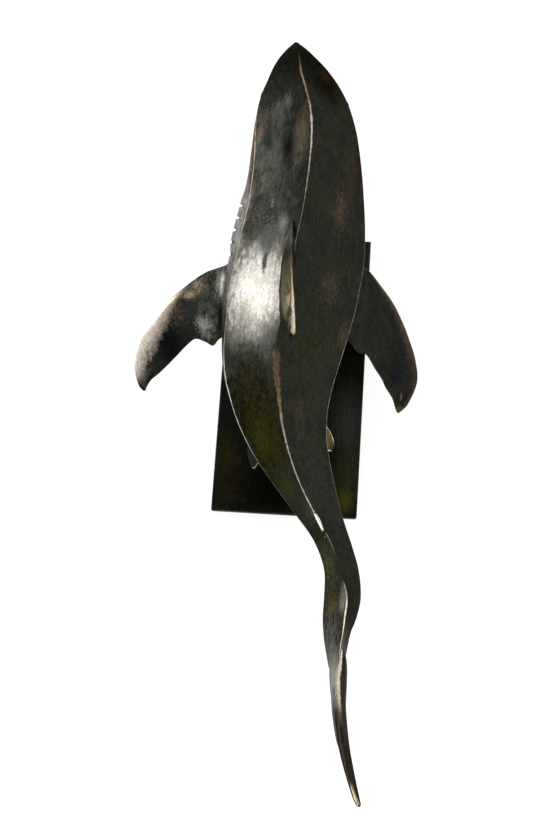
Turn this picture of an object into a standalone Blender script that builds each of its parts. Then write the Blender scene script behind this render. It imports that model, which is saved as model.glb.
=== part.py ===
"""Bronze shark on a post above a rectangular plinth, built from its separate castings and fastenings.

The frame: +Z up, +Y towards the nose, +X to the shark's right, the origin in the middle of the felt's
underside.
Sizes are in millimetres and become metres where an object is made. The castings are drawn about the body's
middle height and hang on an empty at that height; the stud and what it holds hang on an empty on its axis.
"""

from dataclasses import dataclass, fields, replace
from math import radians, sin

import bmesh
import bpy
from mathutils import Vector
from mathutils.bvhtree import BVHTree

MM = 0.001

# Clearances
GAP = 0.3
HOLE_GAP = 0.35
SKIN_GAP = 0.45

# Plinth and what closes it underneath; its left side runs in a little towards the front
PLINTH_LENGTH = 233.0
PLINTH_WIDTH = 120.0
PLINTH_TAPER = 3.0
PLINTH_WALL = 6.0
PLINTH_TOP_THICK = 6.0
PLINTH_ARRIS = 1.9
FELT_THICK = 2.0
FELT_INSET = 1.5
BOARD_THICK = 3.0
BOARD_SCREW_RADIUS = 1.5
BOARD_SCREW_LENGTH = 9.0
BOARD_SCREW_HEAD_RIM = 1.4
BOARD_SCREW_HEAD_HEIGHT = 1.6
BOARD_BOSS_WALL = 3.6
BOARD_BOSS_BITE = 1.0

# Post, stud and the fastening under the plinth's top
POST_X = -5.0
POST_Y = 0.0
POST_LENGTH = 54.0
POST_WALL = 3.65
POST_WAIST = 1.2
POST_WAIST_AT = 0.35
POST_SWELL_AT = 0.75
POST_FOOT_FLARE = 1.5
COLLAR_WIDTH = 4.2
COLLAR_HEIGHT = 5.0
COLLAR_CHAMFER = 2.0
STUD_RADIUS = 4.0
STUD_BELOW_NUT = 0.6
STUD_END_CLEAR = 1.4
WASHER_RIM = 5.65
WASHER_THICK = 1.6
SPRING_WASHER_RIM = 2.85
SPRING_WASHER_THICK = 1.8
NUT_RIM = 3.15
NUT_HEIGHT = 4.4
BOSS_OVER_POST = 3.0
BOSS_HEIGHT = 16.0
BOSS_PROUD = 3.0
BOSS_ROOF = 4.0

# Body castings
SHELL_WALL = 5.0
TAIL_JOINT_Y = -95.0
SPIGOT_LENGTH = 22.0
SPIGOT_WALL = 5.0
TAIL_HOLLOW_END_Y = -124.0
CAVITY_FRONT_Y = 212.0
CAUDAL_JOINT_Y = -205.0
CAUDAL_ROOT_LAP = 4.0
TENON_LENGTH = 14.0
TENON_SUNK = 6.0
TENON_WIDTH = 7.0
TENON_HEIGHT = 15.0
TENON_PIN_RADIUS = 1.5
TENON_PIN_REACH = 0.72
TAIL_PIN_RADIUS = 2.0
TAIL_PIN_LENGTH = 9.0
TAIL_PIN_AT = 0.45
TAIL_PIN_DROP = 11.0
TAIL_PIN_SINK_LEFT = 1.6
TAIL_PIN_SINK_RIGHT = 2.2
TAIL_PIN_SINK_BELLY = 0.8
CORE_PLUG_RADIUS = 5.0
CORE_PLUG_INSET = 0.5
CORE_PLUG_FRONT_Y = 105.0
CORE_PLUG_REAR_Y = -32.0

# Gills, mouth and eyes
GILL_DEPTH = 2.2
GILL_WIDTH = 1.5
GILL_PITCH = 9.5
GILL_COUNT = 5
GILL_FRONT_Y = 122.4
GILL_SPAN = 24.0
GILL_LEAN = 8.0
GILL_BELOW_RIDGE = 5.0
GILL_INWARD = 8.0
GILL_OUTWARD = 14.0
MOUTH_DEPTH = 2.2
MOUTH_GAPE = 2.4
MOUTH_DROP = 19.0
MOUTH_REAR_Y = 158.0
MOUTH_FRONT_Y = 222.0
MOUTH_TILT = 5.0
EYE_RADIUS = 4.2
EYE_Y = 203.0
EYE_SUNK = 3.15
EYE_DROP = 6.3

# How far cutting tools reach past what they cut
CUTTER_REACH = 60.0
HOLE_SPARE = 5.0
FLOOR_SPARE = 20.0

# Resolution of the lofts
RING_STEP = 10.0
CAVITY_STEP = 20.0
UPPER_STEPS = 6
LOWER_STEPS = 7
ROUND_SIDES = 24
PIN_SIDES = 16

# What follows from the sizes above
SPIGOT_FRONT_Y = TAIL_JOINT_Y + SPIGOT_LENGTH
BORE_RADIUS = STUD_RADIUS + HOLE_GAP
POST_RADIUS = BORE_RADIUS + POST_WALL
POST_FOOT_RADIUS = POST_RADIUS + POST_FOOT_FLARE
COLLAR_RADIUS = POST_FOOT_RADIUS + GAP + COLLAR_WIDTH
BOSS_RADIUS = POST_RADIUS + BOSS_OVER_POST
BOARD_BOSS_RADIUS = BOARD_SCREW_RADIUS + HOLE_GAP + BOARD_BOSS_WALL
PLINTH_BOTTOM_Z = FELT_THICK + GAP
BOARD_TOP_Z = PLINTH_BOTTOM_Z + BOARD_THICK
STUD_BOTTOM_Z = BOARD_TOP_Z + STUD_END_CLEAR
NUT_BOTTOM_Z = STUD_BOTTOM_Z + STUD_BELOW_NUT
SPRING_WASHER_BOTTOM_Z = NUT_BOTTOM_Z + NUT_HEIGHT + GAP
WASHER_BOTTOM_Z = SPRING_WASHER_BOTTOM_Z + SPRING_WASHER_THICK + GAP
CEILING_Z = WASHER_BOTTOM_Z + WASHER_THICK + GAP
PLINTH_TOP_Z = CEILING_Z + PLINTH_TOP_THICK


@dataclass
class Station:
    """One cross-section of the body, square to Y, with heights from the body's middle."""

    y: float
    centre_x: float
    half_width: float
    ridge_x: float
    ridge_up: float
    belly_down: float
    roll: float
    left_bulge: float
    right_bulge: float
    crown: float
    full: float


# From the snout to the tail's root; the roll is in degrees and lifts the left flank ridge
STATIONS = [
    Station(245, -11.4, 2.6, -11.4, 1.6, 1.6, 2, 0.0, 0.0, 0.2, 0.50),
    Station(242, -10.6, 6.4, -10.6, 3.8, 3.2, 3, 0.0, 0.0, 0.4, 0.50),
    Station(236, -9.2, 12.4, -9.4, 8.0, 6.5, 5, 0.0, 0.0, 0.8, 0.55),
    Station(227, -6.9, 19.8, -8.0, 13.5, 10.5, 6, 0.0, 0.0, 1.2, 0.58),
    Station(215, -4.4, 27.4, -6.0, 19.0, 15.0, 7, 0.5, 0.0, 1.6, 0.60),
    Station(200, -2.2, 34.0, -1.6, 25.0, 21.0, 8, 2.0, 0.0, 2.0, 0.60),
    Station(180, 0.2, 38.8, 3.0, 31.0, 28.0, 9, 6.0, 0.0, 2.2, 0.60),
    Station(160, 2.2, 41.0, 4.6, 35.5, 34.0, 9, 11.0, 0.0, 2.4, 0.60),
    Station(140, 3.8, 42.4, 4.2, 39.0, 39.0, 9, 16.0, 0.0, 2.4, 0.60),
    Station(120, 4.4, 44.2, 2.9, 42.0, 43.0, 9, 21.0, 0.0, 2.4, 0.60),
    Station(100, 3.8, 46.5, 0.9, 44.5, 46.0, 9, 24.0, 0.0, 2.4, 0.60),
    Station(80, 2.3, 48.5, -2.2, 46.0, 48.0, 9, 23.0, 0.0, 2.4, 0.60),
    Station(60, 0.0, 49.2, -5.1, 46.5, 49.5, 9, 21.0, 0.0, 2.4, 0.60),
    Station(40, -2.5, 48.9, -7.6, 46.5, 49.5, 9, 18.0, 0.0, 2.4, 0.60),
    Station(20, -5.0, 47.1, -9.9, 45.5, 48.0, 9, 13.0, 0.0, 2.4, 0.60),
    Station(0, -7.6, 44.8, -11.7, 43.5, 46.0, 9, 9.0, 0.0, 2.2, 0.60),
    Station(-20, -9.0, 41.2, -10.9, 41.0, 43.0, 8, 5.0, 0.0, 2.0, 0.60),
    Station(-40, -7.6, 36.6, -7.9, 38.0, 39.5, 8, 2.0, 0.0, 1.8, 0.60),
    Station(-60, -3.2, 32.4, -3.9, 34.5, 35.0, 7, 1.0, 0.0, 1.5, 0.58),
    Station(-80, 4.6, 28.2, 2.5, 31.0, 30.5, 6, 0.5, 0.0, 1.2, 0.56),
    Station(-100, 15.0, 23.1, 11.2, 27.0, 26.0, 5, 0.0, 0.0, 1.0, 0.54),
    Station(-120, 26.4, 17.9, 22.8, 23.0, 21.5, 4, 0.0, 0.0, 0.5, 0.50),
    Station(-140, 38.0, 14.0, 35.5, 19.5, 17.5, 3, 0.0, 0.0, 0.0, 0.42),
    Station(-160, 45.5, 13.2, 44.0, 16.5, 14.5, 2, 0.0, 0.0, -0.8, 0.32),
    Station(-180, 47.3, 13.8, 47.5, 17.0, 14.0, 1, 0.0, 0.0, -1.2, 0.26),
    Station(-195, 45.9, 12.6, 47.0, 21.5, 16.5, 1, 0.0, 0.0, -1.2, 0.26),
    Station(-205, 44.7, 10.4, 46.0, 26.0, 20.0, 0, 0.0, 0.0, -1.0, 0.28),
    Station(-215, 44.2, 8.2, 45.6, 29.5, 22.5, 0, 0.0, 0.0, -0.6, 0.30),
    Station(-232, 45.0, 5.0, 45.2, 27.0, 20.0, 0, 0.0, 0.0, 0.0, 0.34),
]
NOSE_TIP = (-11.7, 246.2, -0.5)
SHELL_FRONT_Y = STATIONS[0].y
CAUDAL_ROOT_END_Y = STATIONS[-1].y


def station_at(y: float) -> Station:
    """Reads the body's section at y from a smooth curve through the stations."""
    last = len(STATIONS) - 1
    index = 0
    while index < last - 1 and STATIONS[index + 1].y > y:
        index += 1
    before, start = STATIONS[max(index - 1, 0)], STATIONS[index]
    end, after = STATIONS[index + 1], STATIONS[min(index + 2, last)]
    span = end.y - start.y
    part = min(max((y - start.y) / span, 0.0), 1.0)
    square, cube = part * part, part * part * part
    values = {}
    for field in fields(Station):
        low, high = getattr(start, field.name), getattr(end, field.name)
        slope_in = (high - getattr(before, field.name)) / (end.y - before.y) * span
        slope_out = (getattr(after, field.name) - low) / (after.y - start.y) * span
        values[field.name] = (
            (2 * cube - 3 * square + 1) * low
            + (cube - 2 * square + part) * slope_in
            + (3 * square - 2 * cube) * high
            + (cube - square) * slope_out
        )
    return replace(Station(**values), y=y)


BOSS_BOTTOM_Z = PLINTH_TOP_Z + GAP + POST_LENGTH + GAP
BODY_Z = BOSS_BOTTOM_Z + BOSS_PROUD + station_at(POST_Y).belly_down

# The empties that carry the pieces, and the collections
CASTINGS = "castings_carrier"
STUD_AXIS = "stud_axis"
PLINTH_MIDDLE = "plinth_middle"
CARRIERS = {CASTINGS: (0.0, 0.0, BODY_Z), STUD_AXIS: (POST_X, POST_Y, 0.0), PLINTH_MIDDLE: (0.0, 0.0, 0.0)}
PARTS = "shark_sculpture"
CUTTERS = "cutters"


def bezier(start: Vector, pull: Vector, push: Vector, end: Vector, steps: int) -> list:
    """Points of a cubic curve from start up to, and without, end."""
    points = []
    for step in range(steps):
        t = step / steps
        s = 1.0 - t
        points.append(start * s**3 + pull * (3 * s * s * t) + push * (3 * s * t * t) + end * t**3)
    return points


def corners(station: Station, grow: float = 0.0) -> tuple:
    """The section's four corners: dorsal ridge, right flank ridge, belly, left flank ridge."""
    lift = sin(radians(station.roll)) * station.half_width
    left = Vector((station.centre_x - station.half_width - grow, station.y, lift))
    right = Vector((station.centre_x + station.half_width + grow, station.y, -lift))
    ridge = Vector((station.ridge_x, station.y, station.ridge_up + grow))
    belly = Vector((station.centre_x - lift * 0.6, station.y, -station.belly_down - grow))
    return ridge, right, belly, left


def upper_face(start: Vector, end: Vector, crown: float) -> list:
    """The slightly domed face between the dorsal ridge and a flank ridge, in either order."""
    out = Vector((start.z - end.z, 0, end.x - start.x)).normalized() * crown
    return bezier(start, start.lerp(end, 0.33) + out, start.lerp(end, 0.67) + out, end, UPPER_STEPS)


def section(station: Station, grow: float = 0.0) -> list:
    """Points round one section, from the dorsal ridge over the right flank, the belly and the left flank."""
    ridge, right, belly, left = corners(station, grow)
    below_right = Vector((station.right_bulge, 0, (belly.z - right.z) * station.full))
    below_left = Vector((-station.left_bulge, 0, (belly.z - left.z) * station.full))
    beside_right = Vector(((right.x - belly.x) * station.full, 0, 0))
    beside_left = Vector(((left.x - belly.x) * station.full, 0, 0))
    ring = upper_face(ridge, right, station.crown)
    ring += bezier(right, right + below_right, belly + beside_right, belly, LOWER_STEPS)
    ring += bezier(belly, belly + beside_left, left + below_left, left, LOWER_STEPS)
    ring += upper_face(left, ridge, station.crown)
    return ring


def body_rings(start_y: float, end_y: float, grow: float = 0.0, step: float = RING_STEP) -> list:
    """Sections of the body at even steps between two places, both included."""
    count = max(2, round(abs(end_y - start_y) / step))
    places = [start_y + (end_y - start_y) * index / count for index in range(count + 1)]
    return [section(station_at(y), grow) for y in places]


def material(name: str, colour: tuple, metallic: float, roughness: float) -> bpy.types.Material:
    """Makes a plain Principled material, or gives back the one already made."""
    if name in bpy.data.materials:
        return bpy.data.materials[name]
    made = bpy.data.materials.new(name)
    made.use_nodes = True
    shader = made.node_tree.nodes["Principled BSDF"]
    shader.inputs["Base Color"].default_value = (*colour, 1.0)
    shader.inputs["Metallic"].default_value = metallic
    shader.inputs["Roughness"].default_value = roughness
    made.diffuse_color = (*colour, 1.0)
    return made


def bronze(name: str, colour: tuple = (0.09, 0.075, 0.055)) -> bpy.types.Material:
    """Patinated bronze."""
    return material(name, colour, 0.9, 0.38)


def steel(name: str) -> bpy.types.Material:
    """Plain zinc-plated steel."""
    return material(name, (0.55, 0.55, 0.53), 1.0, 0.32)


def finish(
    name: str, shape: bmesh.types.BMesh, carrier: str, look=None, location=(0.0, 0.0, 0.0)
) -> bpy.types.Object:
    """Makes an object in metres from a bmesh in millimetres; one with no material is a cutter."""
    bmesh.ops.recalc_face_normals(shape, faces=shape.faces)
    bmesh.ops.scale(shape, vec=(MM, MM, MM), verts=shape.verts)
    mesh = bpy.data.meshes.new(name)
    shape.to_mesh(mesh)
    shape.free()
    mesh.materials.append(look or material("cutter", (0.8, 0.2, 0.2), 0.0, 0.8))
    mesh.shade_smooth()
    mesh.set_sharp_from_angle(angle=radians(32))
    made = bpy.data.objects.new(name, mesh)
    made.parent = bpy.data.objects[carrier]
    made.location = Vector(location) * MM
    if look is None:
        made.hide_render = True
        made.display_type = "WIRE"
    bpy.data.collections[PARTS if look else CUTTERS].objects.link(made)
    return made


def loft(name: str, rings: list, look=None, tip: tuple = None) -> bpy.types.Object:
    """Skins rings of the same count into one closed solid, with flat ends or a pointed first end."""
    made = bmesh.new()
    rows = [[made.verts.new(point) for point in ring] for ring in rings]
    size = len(rings[0])
    for row, following in zip(rows, rows[1:]):
        for index in range(size):
            after = (index + 1) % size
            made.faces.new((row[index], row[after], following[after], following[index]))
    if tip:
        point = made.verts.new(tip)
        for index in range(size):
            made.faces.new((rows[0][(index + 1) % size], rows[0][index], point))
    else:
        made.faces.new(rows[0])
    made.faces.new(rows[-1])
    return finish(name, made, CASTINGS, look)


def box(name: str, low: tuple, high: tuple, carrier: str, look=None) -> bpy.types.Object:
    """A box between two corners."""
    made = bmesh.new()
    bmesh.ops.create_cube(made, size=1.0)
    low, high = Vector(low), Vector(high)
    bmesh.ops.scale(made, vec=high - low, verts=made.verts)
    return finish(name, made, carrier, look, (low + high) / 2)


def rod(
    name: str, start: Vector, end: Vector, radius: float, carrier: str, look=None, sides: int = ROUND_SIDES
) -> bpy.types.Object:
    """A round bar between two points."""
    made = bmesh.new()
    axis = end - start
    bmesh.ops.create_cone(
        made, cap_ends=True, segments=sides, radius1=radius, radius2=radius, depth=axis.length
    )
    bar = finish(name, made, carrier, look, (start + end) / 2)
    bar.rotation_mode = "QUATERNION"
    bar.rotation_quaternion = axis.to_track_quat("Z", "Y")
    return bar


def turned(
    name: str, profile: list, carrier: str, look=None, centre=(0.0, 0.0), sides: int = ROUND_SIDES
) -> bpy.types.Object:
    """Turns a profile of (radius, z) points, top to bottom on its outer side, about an upright axis."""
    shape = bmesh.new()
    points = [shape.verts.new((radius, 0.0, z)) for radius, z in profile]
    for pair in zip(points, points[1:]):
        shape.edges.new(pair)
    if min(radius for radius, _ in profile) > 0.0:
        shape.edges.new((points[-1], points[0]))
    made = finish(name, shape, carrier, look, (*centre, 0.0))
    screw = made.modifiers.new("turn", "SCREW")
    screw.axis = "Z"
    screw.angle = radians(360)
    screw.steps = sides
    screw.render_steps = sides
    screw.use_merge_vertices = True
    screw.merge_threshold = 0.0001
    screw.use_smooth_shade = True
    return made


def combine(target: bpy.types.Object, other: bpy.types.Object, operation: str = "DIFFERENCE") -> None:
    """Adds an exact Boolean modifier."""
    modifier = target.modifiers.new(other.name, "BOOLEAN")
    modifier.operation = operation
    modifier.solver = "EXACT"
    modifier.object = other


@dataclass
class Rib:
    """One rib of a fin: leading and trailing points from the body's middle height, and the thickness."""

    lead: tuple
    trail: tuple
    thick: float


# Half thickness along a fin's chord, as shares of the chord and of the greatest half thickness
BLADE = (
    (0.0, 0.0),
    (0.02, 0.26),
    (0.08, 0.56),
    (0.2, 0.86),
    (0.38, 1.0),
    (0.62, 0.8),
    (0.85, 0.42),
    (1.0, 0.08),
)


def blend_ribs(ribs: list) -> list:
    """Adds a rib halfway between each two, on a smooth curve."""
    made = []
    for index in range(len(ribs) - 1):
        before, start = ribs[max(index - 1, 0)], ribs[index]
        end, after = ribs[index + 1], ribs[min(index + 2, len(ribs) - 1)]

        def middle(name: str) -> tuple:
            values = [Vector(getattr(rib, name)) for rib in (before, start, end, after)]
            return tuple((values[1] + values[2]) * 0.5625 - (values[0] + values[3]) * 0.0625)

        made += [start, Rib(middle("lead"), middle("trail"), (start.thick + end.thick) / 2)]
    return made + [ribs[-1]]


def blade_rings(ribs: list) -> list:
    """The sections of a fin, each a thin lens between its leading and trailing points."""
    centres = [(Vector(rib.lead) + Vector(rib.trail)) / 2 for rib in ribs]
    rings = []
    for index, rib in enumerate(ribs):
        lead, trail = Vector(rib.lead), Vector(rib.trail)
        span = centres[min(index + 1, len(ribs) - 1)] - centres[max(index - 1, 0)]
        across = (trail - lead).cross(span).normalized()
        upper = [lead.lerp(trail, along) + across * (rib.thick / 2 * share) for along, share in BLADE]
        lower = [lead.lerp(trail, along) - across * (rib.thick / 2 * share) for along, share in BLADE[1:]]
        rings.append(upper + lower[::-1])
    return rings


PECTORAL_LEFT = [
    Rib((-38, 72, -12), (-38, 21, -18), 12.0),
    Rib((-54, 70.5, -18), (-55, 17.5, -25), 11.5),
    Rib((-63, 68, -21), (-62.5, 10.8, -31), 9.5),
    Rib((-71.5, 64.8, -23), (-69.5, 10.5, -34), 8.5),
    Rib((-81, 59, -28), (-77.5, 14.4, -38.5), 7.5),
    Rib((-91.6, 50.8, -33), (-84.5, 9.5, -43.5), 6.5),
    Rib((-100.5, 43, -38), (-92, 2, -50), 5.6),
    Rib((-108.2, 33.9, -43), (-99, -5, -55), 5.0),
    Rib((-116.5, 24, -49.5), (-106.5, -12, -60), 4.3),
    Rib((-123.7, 12.9, -56), (-112.5, -17, -63.5), 3.6),
    Rib((-126.6, -5.7, -63), (-117.5, -22, -66.5), 2.8),
    Rib((-122.5, -19.5, -67), (-119.5, -25, -68.5), 1.6),
]
PECTORAL_RIGHT = [
    Rib((33, 76, -19), (32, 24, -27), 12.0),
    Rib((47, 77, -25), (44, 18, -34), 11.5),
    Rib((55.5, 75, -30), (51, 11.8, -42), 9.5),
    Rib((66.1, 64.6, -36), (58, 11, -46.5), 8.0),
    Rib((76.7, 53.1, -43), (65.8, 1.8, -56), 6.5),
    Rib((85.7, 39.2, -50), (72, -5.5, -62), 5.4),
    Rib((92.8, 25, -56), (76, -12, -66), 4.6),
    Rib((98.4, 11.7, -63), (82, -19.5, -71.5), 3.8),
    Rib((101.2, -5.2, -68), (84.5, -25.5, -75), 3.0),
    Rib((95.5, -22.5, -74), (86.5, -29.5, -77.5), 2.2),
    Rib((91, -27.5, -76.5), (88, -30.5, -78.3), 1.4),
]
FIRST_DORSAL = [
    Rib((-8, 88, 32), (-10, 18, 32), 13.0),
    Rib((-6.3, 90, 43), (-9.8, 16, 42), 13.0),
    Rib((-5.6, 80, 52), (-8.6, 17.5, 52), 12.0),
    Rib((-4.6, 66, 64), (-6.8, 14, 63), 10.0),
    Rib((-3.6, 51, 75), (-5, 10, 74), 8.2),
    Rib((-2.6, 37, 84.5), (-3.2, 5.5, 83), 6.6),
    Rib((-1.6, 26, 91.5), (-1.6, 1.5, 90), 5.0),
    Rib((-0.4, 17, 95.5), (-0.4, -1.5, 94), 3.6),
    Rib((0.6, 11, 97.2), (0.6, 0, 96.8), 2.0),
]
SECOND_DORSAL = [
    Rib((22.5, -119, 14), (32, -136, 11), 6.0),
    Rib((22.6, -119.5, 24), (31.5, -134, 20), 5.6),
    Rib((26, -125.5, 29.5), (31, -135.5, 26), 3.8),
    Rib((29, -131.5, 33), (31.2, -137.5, 31), 2.0),
]
ANAL = [
    Rib((30, -127, -10), (39, -144, -8), 6.0),
    Rib((31, -127, -20), (39.5, -143, -17.5), 5.6),
    Rib((34, -134, -27), (39.8, -145.5, -24), 3.8),
    Rib((37, -140, -31), (40.3, -148, -29.5), 2.0),
]
PELVIC_LEFT = [
    Rib((-14, -50, -18), (-8, -72, -18), 6.0),
    Rib((-24, -52, -24), (-17, -76, -24), 5.6),
    Rib((-28.5, -60, -29), (-21.5, -81, -28.5), 4.2),
    Rib((-30.6, -70, -32), (-24, -84.8, -31), 3.0),
    Rib((-29.5, -77.5, -34), (-26, -85.5, -33.5), 1.8),
]
PELVIC_RIGHT = [
    Rib((12, -42, -22), (12, -62, -22), 6.0),
    Rib((22, -44, -28), (20, -63, -28), 5.6),
    Rib((30, -50, -33.5), (26, -66, -33.5), 4.2),
    Rib((34.5, -57, -37), (30.5, -67.5, -37), 3.0),
    Rib((36.2, -63, -39.5), (34, -68, -39.5), 1.8),
]
CAUDAL = [
    Rib((54.5, -297, -74), (55, -299.5, -73), 1.5),
    Rib((52, -288, -69), (54, -297, -64), 3.0),
    Rib((49.5, -274, -57), (52.5, -291, -50), 4.5),
    Rib((47.5, -258, -43), (50.8, -284, -35), 6.0),
    Rib((46.5, -242, -31), (49.5, -277, -20), 7.5),
    Rib((46, -226, -21), (48.5, -271, -8), 9.0),
    Rib((45.6, -214, -10), (46.8, -267, 2), 10.5),
    Rib((45.4, -211, 8), (46.8, -266, 12), 11.0),
    Rib((45.6, -214, 24), (47.2, -268, 20), 11.0),
    Rib((44.3, -228, 39.5), (47.8, -272, 29), 10.5),
    Rib((44.1, -240, 48), (49.3, -278, 42), 9.6),
    Rib((46.4, -254, 58), (51, -285, 55), 8.6),
    Rib((48.8, -271, 71), (53.6, -293, 69), 7.6),
    Rib((51.8, -285, 82.5), (56, -300, 81), 6.6),
    Rib((54.8, -298, 91.5), (59.2, -306.5, 91), 5.4),
    Rib((57.8, -307.5, 99), (61.2, -312, 99), 3.8),
    Rib((60.2, -312, 103.0), (61.6, -314.3, 103.4), 1.8),
]


@dataclass
class Dowel:
    """A pin that locates a fin: its radius and how far it goes into the body and into the fin."""

    radius: float
    into_body: float
    into_fin: float


LARGE_DOWEL = Dowel(2.0, 7.0, 10.0)
MIDDLE_DOWEL = Dowel(1.7, 9.0, 10.0)
SMALL_DOWEL = Dowel(1.0, 5.0, 5.0)


@dataclass
class Fin:
    """A separate fin: its ribs, its dowels with their places along the chord, and what carries it."""

    name: str
    ribs: list
    dowel: Dowel
    shares: dict
    on_tail: bool = False


FINS = [
    Fin("pectoral_fin_left", PECTORAL_LEFT, MIDDLE_DOWEL, {"front": 0.3, "rear": 0.62}),
    Fin("pectoral_fin_right", PECTORAL_RIGHT, MIDDLE_DOWEL, {"front": 0.3, "rear": 0.62}),
    Fin("first_dorsal_fin", FIRST_DORSAL, LARGE_DOWEL, {"front": 0.3, "rear": 0.68}),
    Fin("pelvic_fin_left", PELVIC_LEFT, SMALL_DOWEL, {"middle": 0.38}),
    Fin("pelvic_fin_right", PELVIC_RIGHT, SMALL_DOWEL, {"middle": 0.38}),
    Fin("second_dorsal_fin", SECOND_DORSAL, SMALL_DOWEL, {"middle": 0.45}, on_tail=True),
    Fin("anal_fin", ANAL, SMALL_DOWEL, {"middle": 0.45}, on_tail=True),
]


def make_body_shell() -> bpy.types.Object:
    """The hollow head and trunk casting, open at the back for the tail stock's spigot."""
    outside = body_rings(SHELL_FRONT_Y, TAIL_JOINT_Y)
    shell = loft("body_shell", outside, bronze("body_bronze"), tip=NOSE_TIP)
    hollow = body_rings(CAVITY_FRONT_Y, SPIGOT_FRONT_Y, -SHELL_WALL, CAVITY_STEP)[:-1]
    hollow += body_rings(SPIGOT_FRONT_Y, TAIL_JOINT_Y - 2 * GAP, -SHELL_WALL)
    combine(shell, loft("shell_hollow", hollow))
    return shell


def cut_gills(shell: bpy.types.Object) -> None:
    """Five leaning gill slits a side, of even depth, below the flank ridges."""
    last_y = GILL_FRONT_Y - (GILL_COUNT - 1) * GILL_PITCH
    floor = loft("gill_floor", body_rings(GILL_FRONT_Y + FLOOR_SPARE, last_y - FLOOR_SPARE, -GILL_DEPTH))
    for side, outward in (("left", -1), ("right", 1)):
        for index in range(GILL_COUNT):
            y = GILL_FRONT_Y - index * GILL_PITCH
            flank = corners(station_at(y))[3 if side == "left" else 1]
            near, far = sorted((flank.x - GILL_INWARD * outward, flank.x + GILL_OUTWARD * outward))
            top = flank.z - GILL_BELOW_RIDGE
            low = (near, y - GILL_WIDTH / 2, top - GILL_SPAN)
            high = (far, y + GILL_WIDTH / 2, top)
            slit = box(f"gill_{side}_{index + 1}", low, high, CASTINGS)
            slit.rotation_euler.x = -radians(GILL_LEAN)
            combine(slit, floor)
            combine(shell, slit)


def cut_mouth(shell: bpy.types.Object) -> None:
    """The closed mouth's crescent line round the underside of the snout, rising towards the front."""
    front, rear = MOUTH_FRONT_Y + MOUTH_GAPE, MOUTH_REAR_Y - FLOOR_SPARE
    floor = loft("mouth_floor", body_rings(front, rear, -MOUTH_DEPTH))
    low = (-CUTTER_REACH, MOUTH_REAR_Y, -MOUTH_DROP - MOUTH_GAPE / 2)
    high = (CUTTER_REACH, MOUTH_FRONT_Y, -MOUTH_DROP + MOUTH_GAPE / 2)
    slot = box("mouth_line", low, high, CASTINGS)
    slot.rotation_euler.x = radians(MOUTH_TILT)
    combine(slot, floor)
    combine(shell, slot)


def add_eyes(shell: bpy.types.Object) -> None:
    """Low round eyes under the flank ridges."""
    flanks = corners(station_at(EYE_Y))
    for side, flank, inward in (("left", flanks[3], 1), ("right", flanks[1], -1)):
        ball = bmesh.new()
        bmesh.ops.create_uvsphere(ball, u_segments=14, v_segments=8, radius=EYE_RADIUS)
        centre = flank + Vector((inward * EYE_SUNK, 0, -EYE_DROP))
        combine(shell, finish(f"eye_{side}", ball, CASTINGS, location=centre), "UNION")


def make_tail_stock() -> bpy.types.Object:
    """The rear body casting with its keels, its hollow spigot in front and its tenon socket behind."""
    spigot = body_rings(SPIGOT_FRONT_Y, TAIL_JOINT_Y - GAP, -SHELL_WALL - SKIN_GAP)
    outside = body_rings(TAIL_JOINT_Y - GAP, CAUDAL_JOINT_Y)
    stock = loft("tail_stock", spigot + outside, bronze("tail_bronze"))
    inside = -SHELL_WALL - SKIN_GAP - SPIGOT_WALL
    combine(stock, loft("stock_hollow", body_rings(SPIGOT_FRONT_Y + GAP, TAIL_HOLLOW_END_Y, inside)))
    return stock


def pin_tail_joint(shell: bpy.types.Object, stock: bpy.types.Object) -> None:
    """Three pins through the shell's wall into the tail stock's spigot."""
    _, right, belly, left = corners(station_at(SPIGOT_FRONT_Y - SPIGOT_LENGTH * TAIL_PIN_AT))
    left.z = right.z = -TAIL_PIN_DROP
    places = (
        ("left", left, Vector((1, 0, 0)), TAIL_PIN_SINK_LEFT),
        ("right", right, Vector((-1, 0, 0)), TAIL_PIN_SINK_RIGHT),
        ("belly", belly, Vector((0, 0, 1)), TAIL_PIN_SINK_BELLY),
    )
    for side, skin, inward, sink in places:
        start = skin + inward * sink
        end = start + inward * TAIL_PIN_LENGTH
        look = bronze("pin_bronze")
        rod(f"tail_joint_pin_{side}", start, end, TAIL_PIN_RADIUS, CASTINGS, look, PIN_SIDES)
        outer, inner = start - inward * HOLE_SPARE, end + inward * HOLE_GAP
        hole_radius = TAIL_PIN_RADIUS + HOLE_GAP
        hole = rod(f"tail_pin_hole_{side}", outer, inner, hole_radius, CASTINGS, sides=PIN_SIDES)
        combine(shell, hole)
        combine(stock, hole)


def add_core_plugs(shell: bpy.types.Object) -> None:
    """Plugs that close the holes left where the casting's core was held."""
    for name, y in (("front", CORE_PLUG_FRONT_Y), ("rear", CORE_PLUG_REAR_Y)):
        low = corners(station_at(y))[2] + Vector((0, 0, CORE_PLUG_INSET))
        high = low + Vector((0, 0, SHELL_WALL - CORE_PLUG_INSET))
        rod(f"core_plug_{name}", low, high, CORE_PLUG_RADIUS, CASTINGS, bronze("plug_bronze"))
        spare = Vector((0, 0, HOLE_SPARE))
        hole_radius = CORE_PLUG_RADIUS + HOLE_GAP
        combine(shell, rod(f"core_hole_{name}", low - spare, high + spare, hole_radius, CASTINGS))


def skin_tree() -> BVHTree:
    """The body's outer skin, for finding where a fin meets it."""
    rings = body_rings(SHELL_FRONT_Y, CAUDAL_JOINT_Y)
    size = len(rings[0])
    points = [point for ring in rings for point in ring]
    quads = []
    for row in range(len(rings) - 1):
        for index in range(size):
            here, after = row * size + index, row * size + (index + 1) % size
            quads.append((here, after, after + size, here + size))
    return BVHTree.FromPolygons(points, quads)


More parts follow.
